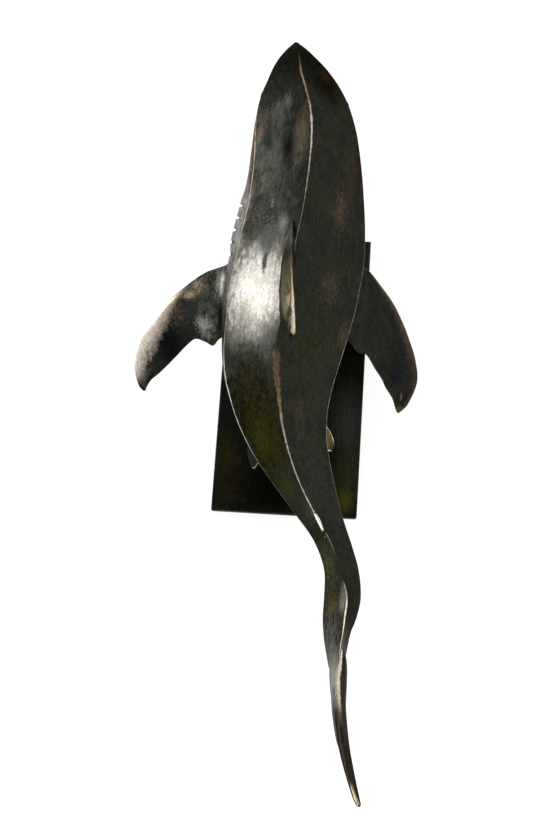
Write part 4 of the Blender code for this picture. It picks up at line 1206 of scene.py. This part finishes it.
@dataclass
class Plinth:
    """The cast plinth, hollow underneath, with its worn arris."""

    length: float = 233.0
    width: float = 120.0
    taper: float = 3.0
    bottom: float = 2.3
    top: float = PLINTH_TOP_Z
    wall: float = 6.0
    roof: float = 6.0
    arris: float = 1.5
    corner: float = 0.8
    # Cuts near the sides keep the worn colour, which is measured at the vertices, to the rim
    cuts: tuple[float, ...] = (3.2, 5.0, 14.0)
    worn_down: float = 0.7

    def build(self, finish: bpy.types.Material) -> None:
        """Builds the plinth.

        Args:
            finish: Its material.
        """
        shape = bmesh.new()
        layer = shape.verts.layers.float.new(Ridge.LEAD.value)
        bmesh.ops.create_cube(shape, size=1.0)
        bmesh.ops.scale(shape, vec=(self.width, self.length, self.top - self.bottom), verts=shape.verts)
        for vert in shape.verts:
            if vert.co.x < 0 < vert.co.y:
                vert.co.x += self.taper
        upright = [edge for edge in shape.edges if abs(edge.verts[0].co.z - edge.verts[1].co.z) > 1.0]
        plain = {"profile": 0.5, "affect": "EDGES", "material": -1}
        bmesh.ops.bevel(shape, geom=upright, offset=self.corner, segments=3, **plain)
        top = max(shape.faces, key=lambda face: face.calc_center_median().z)
        bmesh.ops.bevel(shape, geom=top.edges[:], offset=self.arris, segments=5, **plain)
        bmesh.ops.translate(shape, vec=(0, 0, (self.top + self.bottom) / 2), verts=shape.verts)
        floor = min(shape.faces, key=lambda face: face.calc_center_median().z)
        bmesh.ops.inset_region(shape, faces=[floor], thickness=self.wall, use_even_offset=True)
        raised = bmesh.ops.extrude_discrete_faces(shape, faces=[floor])["faces"]
        lift = self.top - self.roof - self.bottom
        bmesh.ops.translate(shape, vec=(0, 0, lift), verts=raised[0].verts[:])
        for way, limit in ((Vector((1, 0, 0)), self.width / 2), (Vector((0, 1, 0)), self.length / 2)):
            for place in (sign * (limit - inward) for inward in self.cuts for sign in (-1, 1)):
                whole = [*shape.verts, *shape.edges, *shape.faces]
                bmesh.ops.bisect_plane(shape, geom=whole, plane_co=way * place, plane_no=way)
        for vert in shape.verts:
            side = abs(self.width / 2 - abs(vert.co.x))
            end = abs(self.length / 2 - abs(vert.co.y))
            vert[layer] = min(side, end) + max(0.0, self.top - vert.co.z) * self.worn_down
        settle("plinth_casting", shape, finish, "plinth")


@dataclass
class Post:
    """The turned post with its waist and flared foot, and the collar round it."""

    x: float = -5.0
    foot: float = 22.3
    head: float = 76.3
    radius: float = 8.0
    bore: float = 4.35
    waist: float = 1.2
    waist_part: float = 0.7
    flare: float = 1.5
    flare_from: float = 0.74
    flare_part: float = 0.16
    steps: int = 30
    sides: int = 72
    collar_gap: float = 1.8
    collar_wide: float = 6.0
    collar_tall: float = 5.0
    collar_round: float = 2.2
    round_steps: int = 6

    def turn(self, profile: list[tuple[float, float]]) -> bmesh.types.BMesh:
        """Turns a profile about the post's axis.

        Args:
            profile: Points as radius and height, all round the solid.

        Returns:
            The turned mesh.
        """
        shape = bmesh.new()
        points = [shape.verts.new((self.x + radius, 0, z)) for radius, z in profile]
        edges = [shape.edges.new(pair) for pair in zip(points, points[1:] + points[:1])]
        about = {"cent": (self.x, 0, 0), "axis": (0, 0, 1), "angle": math.tau}
        bmesh.ops.spin(shape, geom=[*points, *edges], steps=self.sides, use_merge=True, **about)
        bmesh.ops.remove_doubles(shape, verts=shape.verts, dist=MERGE_MM)
        return shape

    def build(self, finish: bpy.types.Material) -> None:
        """Builds the post and its collar.

        Args:
            finish: Their material.
        """
        tall = self.head - self.foot
        outer = []
        for step in range(self.steps + 1):
            part = step / self.steps
            waist = math.sin(math.pi * min(part / self.waist_part, 1.0)) ** 2
            flare = smooth_step((part - self.flare_from) / self.flare_part)
            outer.append((self.radius - self.waist * waist + self.flare * flare, self.head - tall * part))
        shaft = [(self.bore, self.head), *outer, (self.bore, self.foot)]
        settle("post_turned", self.turn(shaft), finish, "support_post")
        inner, rim = self.radius + self.collar_gap, self.radius + self.collar_wide
        top, soft = self.foot + self.collar_tall, self.collar_round
        turns = [step * math.pi / (2 * self.round_steps) for step in range(self.round_steps + 1)]
        shoulder = [
            (rim - soft + soft * math.sin(turn), top - soft + soft * math.cos(turn)) for turn in turns
        ]
        ring = [(inner, top), *shoulder, (rim, self.foot), (inner, self.foot)]
        settle("collar_turned", self.turn(ring), finish, "post_collar")


@dataclass
class Studio:
    """A pale floor, an even soft surround, one low softbox on the shark's left, and the camera overhead.

    Its sizes are in metres, and the softbox's azimuth counts from the nose towards the shark's left.
    """

    floor_half: float = 6.0
    floor_glow: float = 0.8
    overhead: float = 0.5
    box_azimuth: float = 76.0
    box_height: float = 0.27
    box_distance: float = 1.2
    box_size: tuple[float, float] = (0.44, 0.5)
    box_power: float = 3.2
    aim: tuple[float, float, float] = (0.0, 0.0, 0.13)
    eye: tuple[float, float, float] = (0.002, -0.166, 1.175)
    target: tuple[float, float, float] = (-0.0083, -0.028, 0.022)
    roll: float = 3.4
    lens: float = 61.92

    def light_world(self) -> None:
        """Makes the surround, white at the horizon and greyer overhead."""
        world = bpy.data.worlds.new("studio_surround")
        bpy.context.scene.world = world
        world.use_nodes = True
        tree = world.node_tree
        back = tree.nodes["Background"]
        coords = add_node(tree, "TexCoord")
        parts = add_node(tree, "SeparateXYZ", {0: coords.outputs["Generated"]})
        level = add_node(tree, "MapRange", {0: parts.outputs["Z"], "To Min": 1.0, "To Max": self.overhead})
        tree.links.new(level.outputs[0], back.inputs["Strength"])
        back.inputs["Color"].default_value = srgb("ffffff")

    def lay_floor(self) -> None:
        """Makes the floor: white to the camera and to reflections, and still shadowed."""
        shape = bmesh.new()
        bmesh.ops.create_grid(shape, x_segments=8, y_segments=8, size=self.floor_half)
        mesh = bpy.data.meshes.new("studio_floor")
        shape.to_mesh(mesh)
        shape.free()
        made, tree = new_material("pale_floor")
        rays = add_node(tree, "LightPath").outputs
        seen = rays["Is Camera Ray"]
        for name in ("Is Glossy Ray", "Is Transmission Ray"):
            seen = add_node(tree, "Math", {0: seen, 1: rays[name]}, operation="MAXIMUM")
        glow = add_node(tree, "Math", {0: seen, 1: self.floor_glow}, operation="MULTIPLY")
        dull = {"Base Color": srgb("bcbcbc"), "Roughness": 1.0, "Specular IOR Level": 0.0}
        finish_shader(tree, {"Emission Strength": glow}, dull | {"Emission Color": srgb("ffffff")})
        mesh.materials.append(made)
        floor = bpy.data.objects.new("studio_floor", mesh)
        bpy.context.scene.collection.objects.link(floor)

    def hang_softbox(self) -> None:
        """Hangs the softbox, which faces the shark."""
        lamp = bpy.data.lights.new("left_softbox", "AREA")
        lamp.shape = "RECTANGLE"
        lamp.size, lamp.size_y = self.box_size
        lamp.energy = self.box_power
        box = bpy.data.objects.new("left_softbox", lamp)
        turn = math.radians(self.box_azimuth)
        left, ahead = math.sin(turn) * self.box_distance, math.cos(turn) * self.box_distance
        box.location = (-left, ahead, self.box_height)
        box.rotation_euler = (Vector(self.aim) - box.location).to_track_quat("-Z", "Y").to_euler()
        box.visible_camera = False
        bpy.context.scene.collection.objects.link(box)

    def set_camera(self) -> None:
        """Sets the camera nearly straight above, as the photographer's was."""
        data = bpy.data.cameras.new("camera")
        data.lens = self.lens
        data.sensor_width = 36.0
        data.sensor_fit = "AUTO"
        data.clip_start, data.clip_end = 0.01, 50.0
        camera = bpy.data.objects.new("camera", data)
        look = (Vector(self.target) - Vector(self.eye)).normalized()
        level = look.cross(Vector((0, 1, 0))).normalized()
        upright = level.cross(look)
        turn = math.radians(self.roll)
        right = level * math.cos(turn) + upright * math.sin(turn)
        up = upright * math.cos(turn) - level * math.sin(turn)
        camera.matrix_world = Matrix.Translation(self.eye) @ Matrix((right, up, -look)).transposed().to_4x4()
        bpy.context.scene.collection.objects.link(camera)
        bpy.context.scene.camera = camera

    def build(self) -> None:
        """Sets up the whole studio."""
        self.light_world()
        self.lay_floor()
        self.hang_softbox()
        self.set_camera()
        bpy.context.scene.view_settings.view_transform = "Standard"


# The body's crest lines, read from nose to tail: gold on the head's crest, thin and pinkish before the dorsal
# fin, a broad coppery band behind it, and a thin pale line down to the tail. They are partly worn bronze and
# partly painted highlights, most of all the near-white and grey lines along the flank ridges
BODY_CRESTS = (
    Crest(
        Ridge.DORSAL,
        Axis.Y,
        (
            Stop(238, 0.4, "2a2820", 0.0), Stop(228, 0.6, "7c6c52", 0.7), Stop(212, 1.2, "b09474"),
            Stop(194, 1.2, "a88060"), Stop(184, 1.2, "d8c8ac"), Stop(165, 1.1, "f6f0e2"),
            Stop(145, 0.9, "eadfce"), Stop(120, 0.6, "c8b09c", 0.9), Stop(92, 0.5, "b8a898", 0.8),
            Stop(2, 0.6, "3a2c20", 0.3), Stop(-6, 4.6, "6e583c", 0.85), Stop(-30, 3.3, "7a6246", 0.9),
            Stop(-46, 1.7, "a88c6e", 0.95), Stop(-62, 1.0, "dcc6ae"), Stop(-90, 0.7, "e8dac8"),
            Stop(-120, 0.8, "f0e6d4"), Stop(-138, 0.7, "a8a494", 0.7), Stop(-150, 0.7, "6a6a58", 0.3),
            Stop(-166, 0.5, "4a4a3c", 0.0), Stop(-172, 1.2, "c8b89c", 0.9), Stop(-205, 1.6, "f0dcbc"),
        ),
    ),
    # The left flank ridge's near-white stretches are partly a painted highlight
    Crest(
        Ridge.LEFT,
        Axis.Y,
        (
            Stop(236, 0.5, "302e26", 0.0), Stop(190, 0.6, "54503f", 0.5), Stop(176, 0.9, "c8aa7c"),
            Stop(145, 0.9, "c4a684"), Stop(120, 0.8, "b09684", 0.9), Stop(92, 0.8, "c4b0a0", 0.9),
            Stop(20, 0.9, "a8927c", 0.8), Stop(-14, 1.2, "f0ede6"), Stop(-62, 1.2, "e6e4dc"),
            Stop(-84, 0.8, "b0aea4", 0.8), Stop(-120, 0.6, "7c7a70", 0.5),
        ),
    ),
    # The right flank ridge's grey line is partly a painted highlight
    Crest(
        Ridge.RIGHT,
        Axis.Y,
        (
            Stop(230, 0.4, "302e26", 0.0), Stop(185, 0.9, "5c5242", 0.7), Stop(130, 1.0, "645846", 0.7),
            Stop(80, 0.9, "868276", 0.85), Stop(30, 1.1, "bab6a6", 0.95), Stop(-90, 0.9, "a6a294", 0.9),
            Stop(-150, 0.5, "4a4838", 0.3), Stop(-196, 0.9, "b0aca0", 0.8),
        ),
    ),
)
BODY_PATCHES = (
    # The pale flank under the left ridge: a painted reflection
    Patch((-52, 112, -12), (26, 126, 24), "b8b6b0", 0.95, Edge.SOFT, Side.LEFT),
    # Eyelids with a trace of bronze, and black eyes
    Patch((-34, 203, -2), (5, 5.5, 5.5), "484135", 0.9, Edge.SOFT),
    Patch((31, 203, -11), (5, 5.5, 5.5), "484135", 0.9, Edge.SOFT),
    Patch((-37, 203, -2), (6, 2.6, 2.6), "0a0a08", 1.0, Edge.SOFT),
    Patch((33, 203, -11), (6, 2.6, 2.6), "0a0a08", 1.0, Edge.SOFT),
    # Near-black snout with a hint of brown on its right
    Patch((-10, 226, 8), (32, 27, 26), "1a1b14", 0.9, Edge.SOFT),
    Patch((14, 212, 6), (22, 28, 24), "181812", 0.95, Edge.SOFT),
    Patch((13, 219, 4), (8, 8, 9), "33291a", 0.8, Edge.BRUSHED),
    Patch((22, 203, 2), (6, 9, 9), "2d2418", 0.8, Edge.BRUSHED),
    # The head's left face: dark and blotched, with pale grey patches that are partly scuffs and partly
    # painted highlights of its dents, and a tan brushed band beside the crest
    Patch((-24, 150, 22), (27, 54, 26), "1b1c18", 0.85, Edge.SOFT, Side.LEFT),
    # Pale grey patches, partly scuffs and partly painted highlights of the dents
    Patch((-22, 152, 20), (22, 46, 24), "474741", 0.5, Edge.MOTTLED, Side.LEFT),
    Patch((-23, 150, 20), (21, 44, 24), "474741", 0.6, Edge.BRUSHED, Side.LEFT),
    Patch((-3, 163, 31), (8, 34, 9), "625a4c", 0.9, Edge.BRUSHED, Side.LEFT),
    Patch((-15, 191, 21), (4.5, 9, 8), "5f5f57", 0.9, Edge.BRUSHED),
    Patch((-21, 187, 18), (4, 7, 8), "565650", 0.85, Edge.SPECKLED),
    Patch((-23, 182, 16), (7, 12, 9), "55554d", 0.85, Edge.BRUSHED),
    Patch((-20, 172, 18), (4, 14, 9), "4e4e47", 0.85, Edge.BRUSHED),
    Patch((-34, 181, 10), (9, 9, 9), "4c463e", 0.85, Edge.SPECKLED),
    Patch((-34, 171, 10), (4, 9, 8), "5e5244", 0.8, Edge.BRUSHED),
    Patch((-28, 160, 14), (7, 10, 9), "1f2320", 0.9, Edge.SOFT),
    Patch((-13, 152, 27), (6, 20, 9), "151512", 0.95, Edge.BRUSHED, Side.LEFT),
    Patch((-24, 112, 24), (22, 20, 24), "40403b", 0.75, Edge.MOTTLED, Side.LEFT),
    Patch((-22, 109, 26), (1.6, 6, 7), "6c6c62", 0.8, Edge.SPECKLED),
    # The left face beside the dorsal fin: a pale grey band, partly rubbed polish and partly a painted
    # reflection of the light
    Patch((-26, 98, 26), (30, 16, 26), "353632", 0.9, Edge.RAGGED, Side.LEFT),
    # A painted highlight beside the fin
    Patch((-13, 92, 36), (6, 10, 10), "6b6a63", 0.9, Edge.SOFT, Side.LEFT),
    # The band's pale grey: partly polish and partly a painted reflection
    Patch((-27, 44, 27), (42, 47, 36), "85837c", 1.0, Edge.SOFT, Side.LEFT),
    Patch((-29, 45, 26), (36, 34, 34), "a09d95", 0.9, Edge.RAGGED, Side.LEFT),
    Patch((-24, 82, 30), (10, 16, 12), "454643", 0.95, Edge.RAGGED, Side.LEFT),
    Patch((-25, 64, 31), (2.5, 10, 6), "232422", 0.9, Edge.RAGGED),
    Patch((-38, 22, 22), (14, 18, 14), "5a5850", 0.6, Edge.SPECKLED),
    Patch((-19, 0, 35), (8, 16, 12), "484844", 0.9, Edge.BRUSHED, Side.LEFT),
    # Olive and black behind it
    Patch((-28, -60, 20), (36, 68, 28), "15170b", 0.95, Edge.RAGGED, Side.LEFT),
    Patch((-18, -66, 20), (24, 62, 24), "2b2c12", 0.6, Edge.MOTTLED, Side.LEFT),
    Patch((-16, -62, 20), (19, 50, 20), "35320f", 0.75, Edge.FLECKED, Side.LEFT),
    Patch((-19, -66, 16), (9, 18, 12), "3a3519", 0.7, Edge.FLECKED),
    Patch((2, -104, 14), (9, 20, 12), "36381c", 0.7, Edge.SPECKLED, Side.LEFT),
    Patch((-30, -22, 20), (10, 10, 11), "3c2d20", 0.7, Edge.FLECKED),
    # Copper rubs on the right face
    Patch((28, 110, 17), (8, 17, 16), "6a523f", 0.85, Edge.FLECKED, Side.RIGHT),
    Patch((26, 50, 17), (10, 12, 14), "62523e", 0.8, Edge.FLECKED, Side.RIGHT),
    Patch((38, 17, -3), (5, 11, 12), "5c4c40", 0.75, Edge.FLECKED),
    Patch((7, -46, 22), (7, 10, 9), "4e4436", 0.7, Edge.FLECKED, Side.RIGHT),
    Patch((36, 140, 2), (8, 50, 14), "3c3428", 0.7, Edge.BRUSHED, Side.RIGHT),
    Patch((14, 0, 24), (26, 60, 24), "32351c", 0.55, Edge.MOTTLED, Side.RIGHT),
    Patch((20, 90, 24), (26, 60, 24), "2c2f26", 0.6, Edge.MOTTLED, Side.RIGHT),
)
# The tail's patches lie over both of its castings
TAIL_PATCHES = (
    Patch((34, -148, 8), (14, 44, 16), "2d3020", 0.85, Edge.MOTTLED, Side.LEFT),
    Patch((36, -150, 6), (9, 30, 10), "4c5034", 0.8, Edge.FLECKED, Side.LEFT),
    Patch((38, -186, 8), (12, 14, 14), "302b1c", 0.8, Edge.MOTTLED, Side.LEFT),
    Patch((37, -182, 8), (8, 14, 12), "4a4228", 0.75, Edge.FLECKED, Side.LEFT),
    # A painted highlight along the tail stock's left face, beside the dorsal ridge
    Patch((47, -180, 14), (3.5, 14, 8), "6c6b64", 0.9, Edge.SOFT, Side.LEFT),
    # A painted reflection on the left face where the stock runs into the caudal root
    Patch((36, -232, 20), (16, 38, 50), "6e6e68", 0.95, Edge.BRUSHED, Side.LEFT),
    Patch((22, -118, 18), (8, 10, 10), "4c4e48", 0.8, Edge.FLECKED, Side.LEFT),
    Patch((50, -160, 4), (12, 50, 16), "2b2c24", 0.8, Edge.SOFT, Side.RIGHT),
    Patch((24, -86, 16), (22, 50, 22), "33342c", 0.7, Edge.MOTTLED, Side.RIGHT),
)
BODY_FILED = (Patch((-28, 100, 22), (22, 13, 24), "000000", 1.0, Edge.SOFT),)
# The left fin's pale leading edge is partly burnished bronze and partly a painted highlight; the right fin's
# is a brown band, and the left fin's tip is darkened
PECTORAL_CRESTS = (
    Crest(
        Ridge.LEAD,
        Axis.X,
        (
            Stop(-127, 30.0, "fbf2e4"), Stop(-114, 30.0, "f4e8d8"), Stop(-103, 22.0, "dccfbc", 0.95),
            Stop(-93, 10.0, "a09078", 0.7), Stop(-84, 2.0, "5a5448", 0.3), Stop(-60, 1.0, "3a3832", 0.3),
            Stop(56, 2.5, "5c5a4e", 0.6), Stop(72, 7.0, "5a4c3a", 0.9), Stop(92, 13.0, "5a4a3a", 0.85),
            Stop(102, 12.0, "46423a", 0.8),
        ),
        0.3,
    ),
    Crest(
        Ridge.TIP,
        Axis.X,
        (
            Stop(-127, 23.0, "14150d"), Stop(-112, 23.0, "14150d"), Stop(-100, 0.1, "23241a", 0.0),
            Stop(99, 0.1, "23241a", 0.0),
        ),
        0.5,
    ),
)
PECTORAL_PATCHES = (
    # Left fin: teal-black behind the bright edge, which is partly burnished and partly a painted highlight,
    # copper rubs, and a pale root and lobe that are painted highlights
    Patch((-98, 10, -46), (21, 27, 20), "101316", 0.95, Edge.SOFT),
    Patch((-84, 34, -34), (10, 14, 12), "2e3436", 0.8, Edge.SOFT),
    Patch((-101, 30, -43), (8, 11, 9), "66594c", 0.7, Edge.FLECKED),
    Patch((-76, 52, -22), (14, 9, 9), "847262", 0.85, Edge.FLECKED),
    Patch((-84, 47, -28), (7, 4, 7), "a48e76", 0.85, Edge.SPECKLED),
    Patch((-91, 34, -38), (9, 9, 9), "6e5848", 0.8, Edge.FLECKED),
    # Painted highlights on the root and the lobe
    Patch((-62, 62, -19), (12, 12, 9), "5a5b54", 0.85, Edge.MOTTLED),
    Patch((-57, 54, -17), (5, 14, 7), "86867e", 0.95, Edge.SPECKLED),
    Patch((-68, 38, -24), (9, 16, 10), "52564f", 0.85, Edge.MOTTLED),
    Patch((-72, 24, -27), (9, 7, 8), "929490", 0.95, Edge.SPECKLED),
    Patch((-66, 16, -29), (8, 7, 8), "6c6d64", 0.9, Edge.MOTTLED),
    # A painted shadow in the joint between the fin's root and the body
    Patch((-57, 34, -21), (2.6, 18, 8), "141611", 1.0, Edge.RAGGED),
    Patch((-62, 10, -30), (7, 5, 6), "2c2a14", 0.9, Edge.RAGGED),
    # Right fin: green-grey, blue-black near the trailing edge, with a gold tick at its tip
    Patch((60, 38, -42), (30, 40, 24), "282c26", 0.85, Edge.MOTTLED),
    Patch((84, 12, -58), (20, 34, 20), "272b28", 0.7, Edge.MOTTLED),
    Patch((83, -4, -62), (8, 12, 12), "1d1f27", 0.8, Edge.SOFT),
    Patch((89, -17, -72), (1.2, 4, 4), "84785a", 0.7, Edge.SPECKLED),
    Patch((88, -28, -76), (4, 4, 5), "6a5840", 0.8, Edge.RAGGED),
)
DORSAL_CRESTS = (
    Crest(
        Ridge.LEAD,
        Axis.Y,
        (
            Stop(94, 0.5, "3c3a32", 0.2), Stop(66, 0.6, "6a6250", 0.6), Stop(50, 1.5, "9c8a68", 0.9),
            Stop(30, 2.7, "d6c49c"), Stop(8, 3.3, "efe2c6"),
        ),
        0.4,
    ),
    Crest(
        Ridge.TIP,
        Axis.Z,
        (Stop(214, 0.5, "c8b890", 0.0), Stop(219, 1.6, "d8c8a0", 0.9), Stop(224, 2.4, "e6d8b4")),
    ),
)
DORSAL_PATCHES = (
    Patch((-8, 44, 60), (10, 36, 30), "695d47", 0.95, Edge.BRUSHED),
    Patch((-8, 46, 62), (9, 36, 30), "30281c", 0.85, Edge.FLECKED),
    Patch((-7, 34, 70), (8, 22, 20), "a08e6c", 0.7, Edge.FLECKED),
    Patch((-6, 22, 82), (6, 12, 12), "b4a27c", 0.8, Edge.RAGGED),
    Patch((-8, 80, 50), (8, 16, 14), "7a7a74", 0.9, Edge.SOFT),
    Patch((-9, 28, 62), (4, 10, 24), "5c5c54", 0.8, Edge.BRUSHED, Side.LEFT),
    Patch((-4, 12, 90), (6, 10, 10), "6a624c", 0.8, Edge.MOTTLED),
)
CAUDAL_CRESTS = (
    Crest(
        Ridge.LEAD,
        Axis.Y,
        (
            Stop(-204, 1.2, "f0dcbc"), Stop(-226, 0.6, "f6e6ca"), Stop(-250, 0.6, "ecd6b0"),
            Stop(-258, 0.6, "7c6650", 0.9), Stop(-268, 0.7, "2c241c", 0.9), Stop(-300, 0.5, "33291f", 0.9),
            Stop(-306, 0.4, "a88e68", 0.9), Stop(-315, 0.4, "dccaa6", 0.9),
        ),
        0.5,
    ),
)
CAUDAL_PATCHES = (
    # A painted reflection on the caudal root's left face
    Patch((38, -238, 36), (12, 30, 34), "a6a69e", 0.95, Edge.SOFT, Side.LEFT),
    Patch((45, -285, 76), (14, 30, 40), "2c2a25", 0.9, Edge.MOTTLED),
    Patch((50, -262, 50), (5, 44, 60), "3a3832", 0.8, Edge.SOFT, Side.RIGHT),
)
SMALL_FIN_CRESTS = tuple(
    Crest(
        ridge,
        Axis.X,
        (Stop(-40, 0.9, "b2b0a4", 0.85), Stop(10, 1.0, "a89468", 0.8), Stop(24, wide, "fbf2dc")),
    )
    for ridge, wide in ((Ridge.LEAD, 1.6), (Ridge.TRAIL, 1.2))
)
SMALL_FIN_PATCHES = (Patch((28, -58, -34), (14, 16, 12), "6a5a36", 0.9, Edge.BRUSHED),)
PLINTH_CRESTS = (
    Crest(Ridge.LEAD, Axis.Y, (Stop(-117, 1.0, "55534a", 0.9), Stop(117, 1.0, "4c4c40", 0.9)), 0.5),
)
PLINTH_PATCHES = (
    # Along the left a painted faint reflection in blue-black, beside and under the shark's rear a painted
    # shadow, green-grey at the right, ochre and yellow-green at the tail-end corners
    # Painted reflection, blue-black
    Patch((-48, -20, -104), (22, 60, 14), "222521", 0.8, Edge.SOFT),
    # Painted shadow beside and under the shark's rear body
    Patch((-10, -100, -104), (40, 22, 14), "100f08", 0.9, Edge.SOFT),
    Patch((-51, -70, -104), (9, 22, 14), "362f16", 0.8, Edge.SOFT),
    Patch((-49, -98, -104), (8, 12, 14), "2a2512", 0.8, Edge.MOTTLED),
    Patch((50, -84, -104), (16, 36, 14), "353a1e", 0.85, Edge.SOFT),
    Patch((50, -103, -104), (9, 12, 14), "525220", 0.85, Edge.SOFT),
    Patch((48, -36, -104), (16, 34, 14), "383d38", 0.85, Edge.SOFT),
    Patch((58, 80, -104), (16, 70, 14), "37392d", 0.85, Edge.SOFT),
)


# The finishes of the CAD pieces that stay, with their nodes
KEPT = {
    # Turned rod, warm gold under a little wear
    PlainFinish("turned_bronze_rod", "8a6f45", "6c5433", 1.0, 0.34, (6.0, 6.0, 1.2)): (
        "caudal_tenon_pin",
        *(f"first_dorsal_fin_dowel_{end}" for end in ("front", "rear")),
        *(f"pectoral_fin_{side.value}_dowel_{end}" for side in Side for end in ("front", "rear")),
        *(f"pelvic_fin_{side.value}_dowel_middle" for side in Side),
        *(f"{fin}_fin_dowel_middle" for fin in ("second_dorsal", "anal")),
    ),
    # Bronze chased flush with the castings and patinated with them
    PlainFinish("dulled_bronze", "3a362a", "26241c", 1.0, 0.36): (
        "belly_boss",
        *(f"core_plug_{end}" for end in ("front", "rear")),
        *(f"tail_joint_pin_{place}" for place in ("left", "right", "belly")),
    ),
    # Zinc plate, pale and slightly soft in its shine
    PlainFinish("zinc_plated_steel", "b9bab6", "9c9d98", 1.0, 0.32): (
        "post_stud",
        *(f"stud_{part}" for part in ("washer", "spring_washer", "nut")),
        *(f"board_screw_{end}_{side.value}" for end in ("front", "rear") for side in Side),
    ),
    # Unvarnished ply with its grain along the base
    PlainFinish("birch_ply", "b08a5c", "8f6c43", 0.0, 0.7, (2.5, 30.0, 2.5)): ("base_board",),
    # Pressed wool, dark green and without shine
    PlainFinish("wool_felt", "20291f", "121813", 0.0, 0.95, (0.8, 0.8, 0.8)): ("felt_sheet",),
}


def dress_kept_nodes() -> None:
    """Gives the CAD nodes that stay their own finishes."""
    for finish, names in KEPT.items():
        made = finish.make()
        for name in names:
            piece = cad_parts[name]
            piece.data.materials.clear()
            piece.data.materials.append(made)


def main() -> None:
    """Builds the studio and every piece, in order."""
    logging.basicConfig(level=logging.INFO, format="%(name)s: %(message)s")
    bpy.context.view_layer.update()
    Studio().build()
    # One patina, worn in its own places on each casting and painted there with highlights, reflections and
    # shade, with smaller clouds on the pectoral fins
    body = PatinatedBronze("body_patina_and_painted_light", BODY_CRESTS, BODY_PATCHES + TAIL_PATCHES, BODY_FILED).make()
    pectorals = PatinatedBronze("pectoral_patina_and_painted_highlight", PECTORAL_CRESTS, PECTORAL_PATCHES, cloud_mm=16.0).make()
    dorsals = PatinatedBronze("dorsal_patina", DORSAL_CRESTS, DORSAL_PATCHES).make()
    tail = PatinatedBronze("caudal_patina_and_painted_reflection", CAUDAL_CRESTS, TAIL_PATCHES + CAUDAL_PATCHES).make()
    small = PatinatedBronze("small_fin_patina", SMALL_FIN_CRESTS, SMALL_FIN_PATCHES).make()
    # The plinth's is darker, near black with olive clouds
    tones = {"dark": "1e1e18", "brown": "28281e", "olive": "2f2f1b"}
    plinth = PatinatedBronze("plinth_patina_and_painted_shade", PLINTH_CRESTS, PLINTH_PATCHES, **tones).make()
    # The post and its collar are hardly touched, so nothing is rubbed bright
    turned = PatinatedBronze("turned_patina").make()
    seat, tail_seat = Body().build(body)
    FinCasting("pectoral_fin_left", PECTORAL_LEFT).build(seat, pectorals)
    FinCasting("pectoral_fin_right", PECTORAL_RIGHT).build(seat, pectorals)
    FinCasting("first_dorsal_fin", FIRST_DORSAL, fillet=2.0, nose=0.9).build(seat, dorsals)
    FinCasting("pelvic_fin_left", PELVIC_LEFT, fillet=1.5).build(seat, small)
    FinCasting("pelvic_fin_right", PELVIC_RIGHT, fillet=1.5).build(seat, small)
    FinCasting("second_dorsal_fin", SECOND_DORSAL, fillet=0.8).build(tail_seat, small)
    FinCasting("anal_fin", ANAL, fillet=1.0).build(tail_seat, small)
    CaudalCasting("caudal_fin", CAUDAL, chord_steps=30).build(tail_seat, tail)
    Plinth().build(plinth)
    Post().build(turned)
    dress_kept_nodes()


if __name__ == "__main__":
    main()
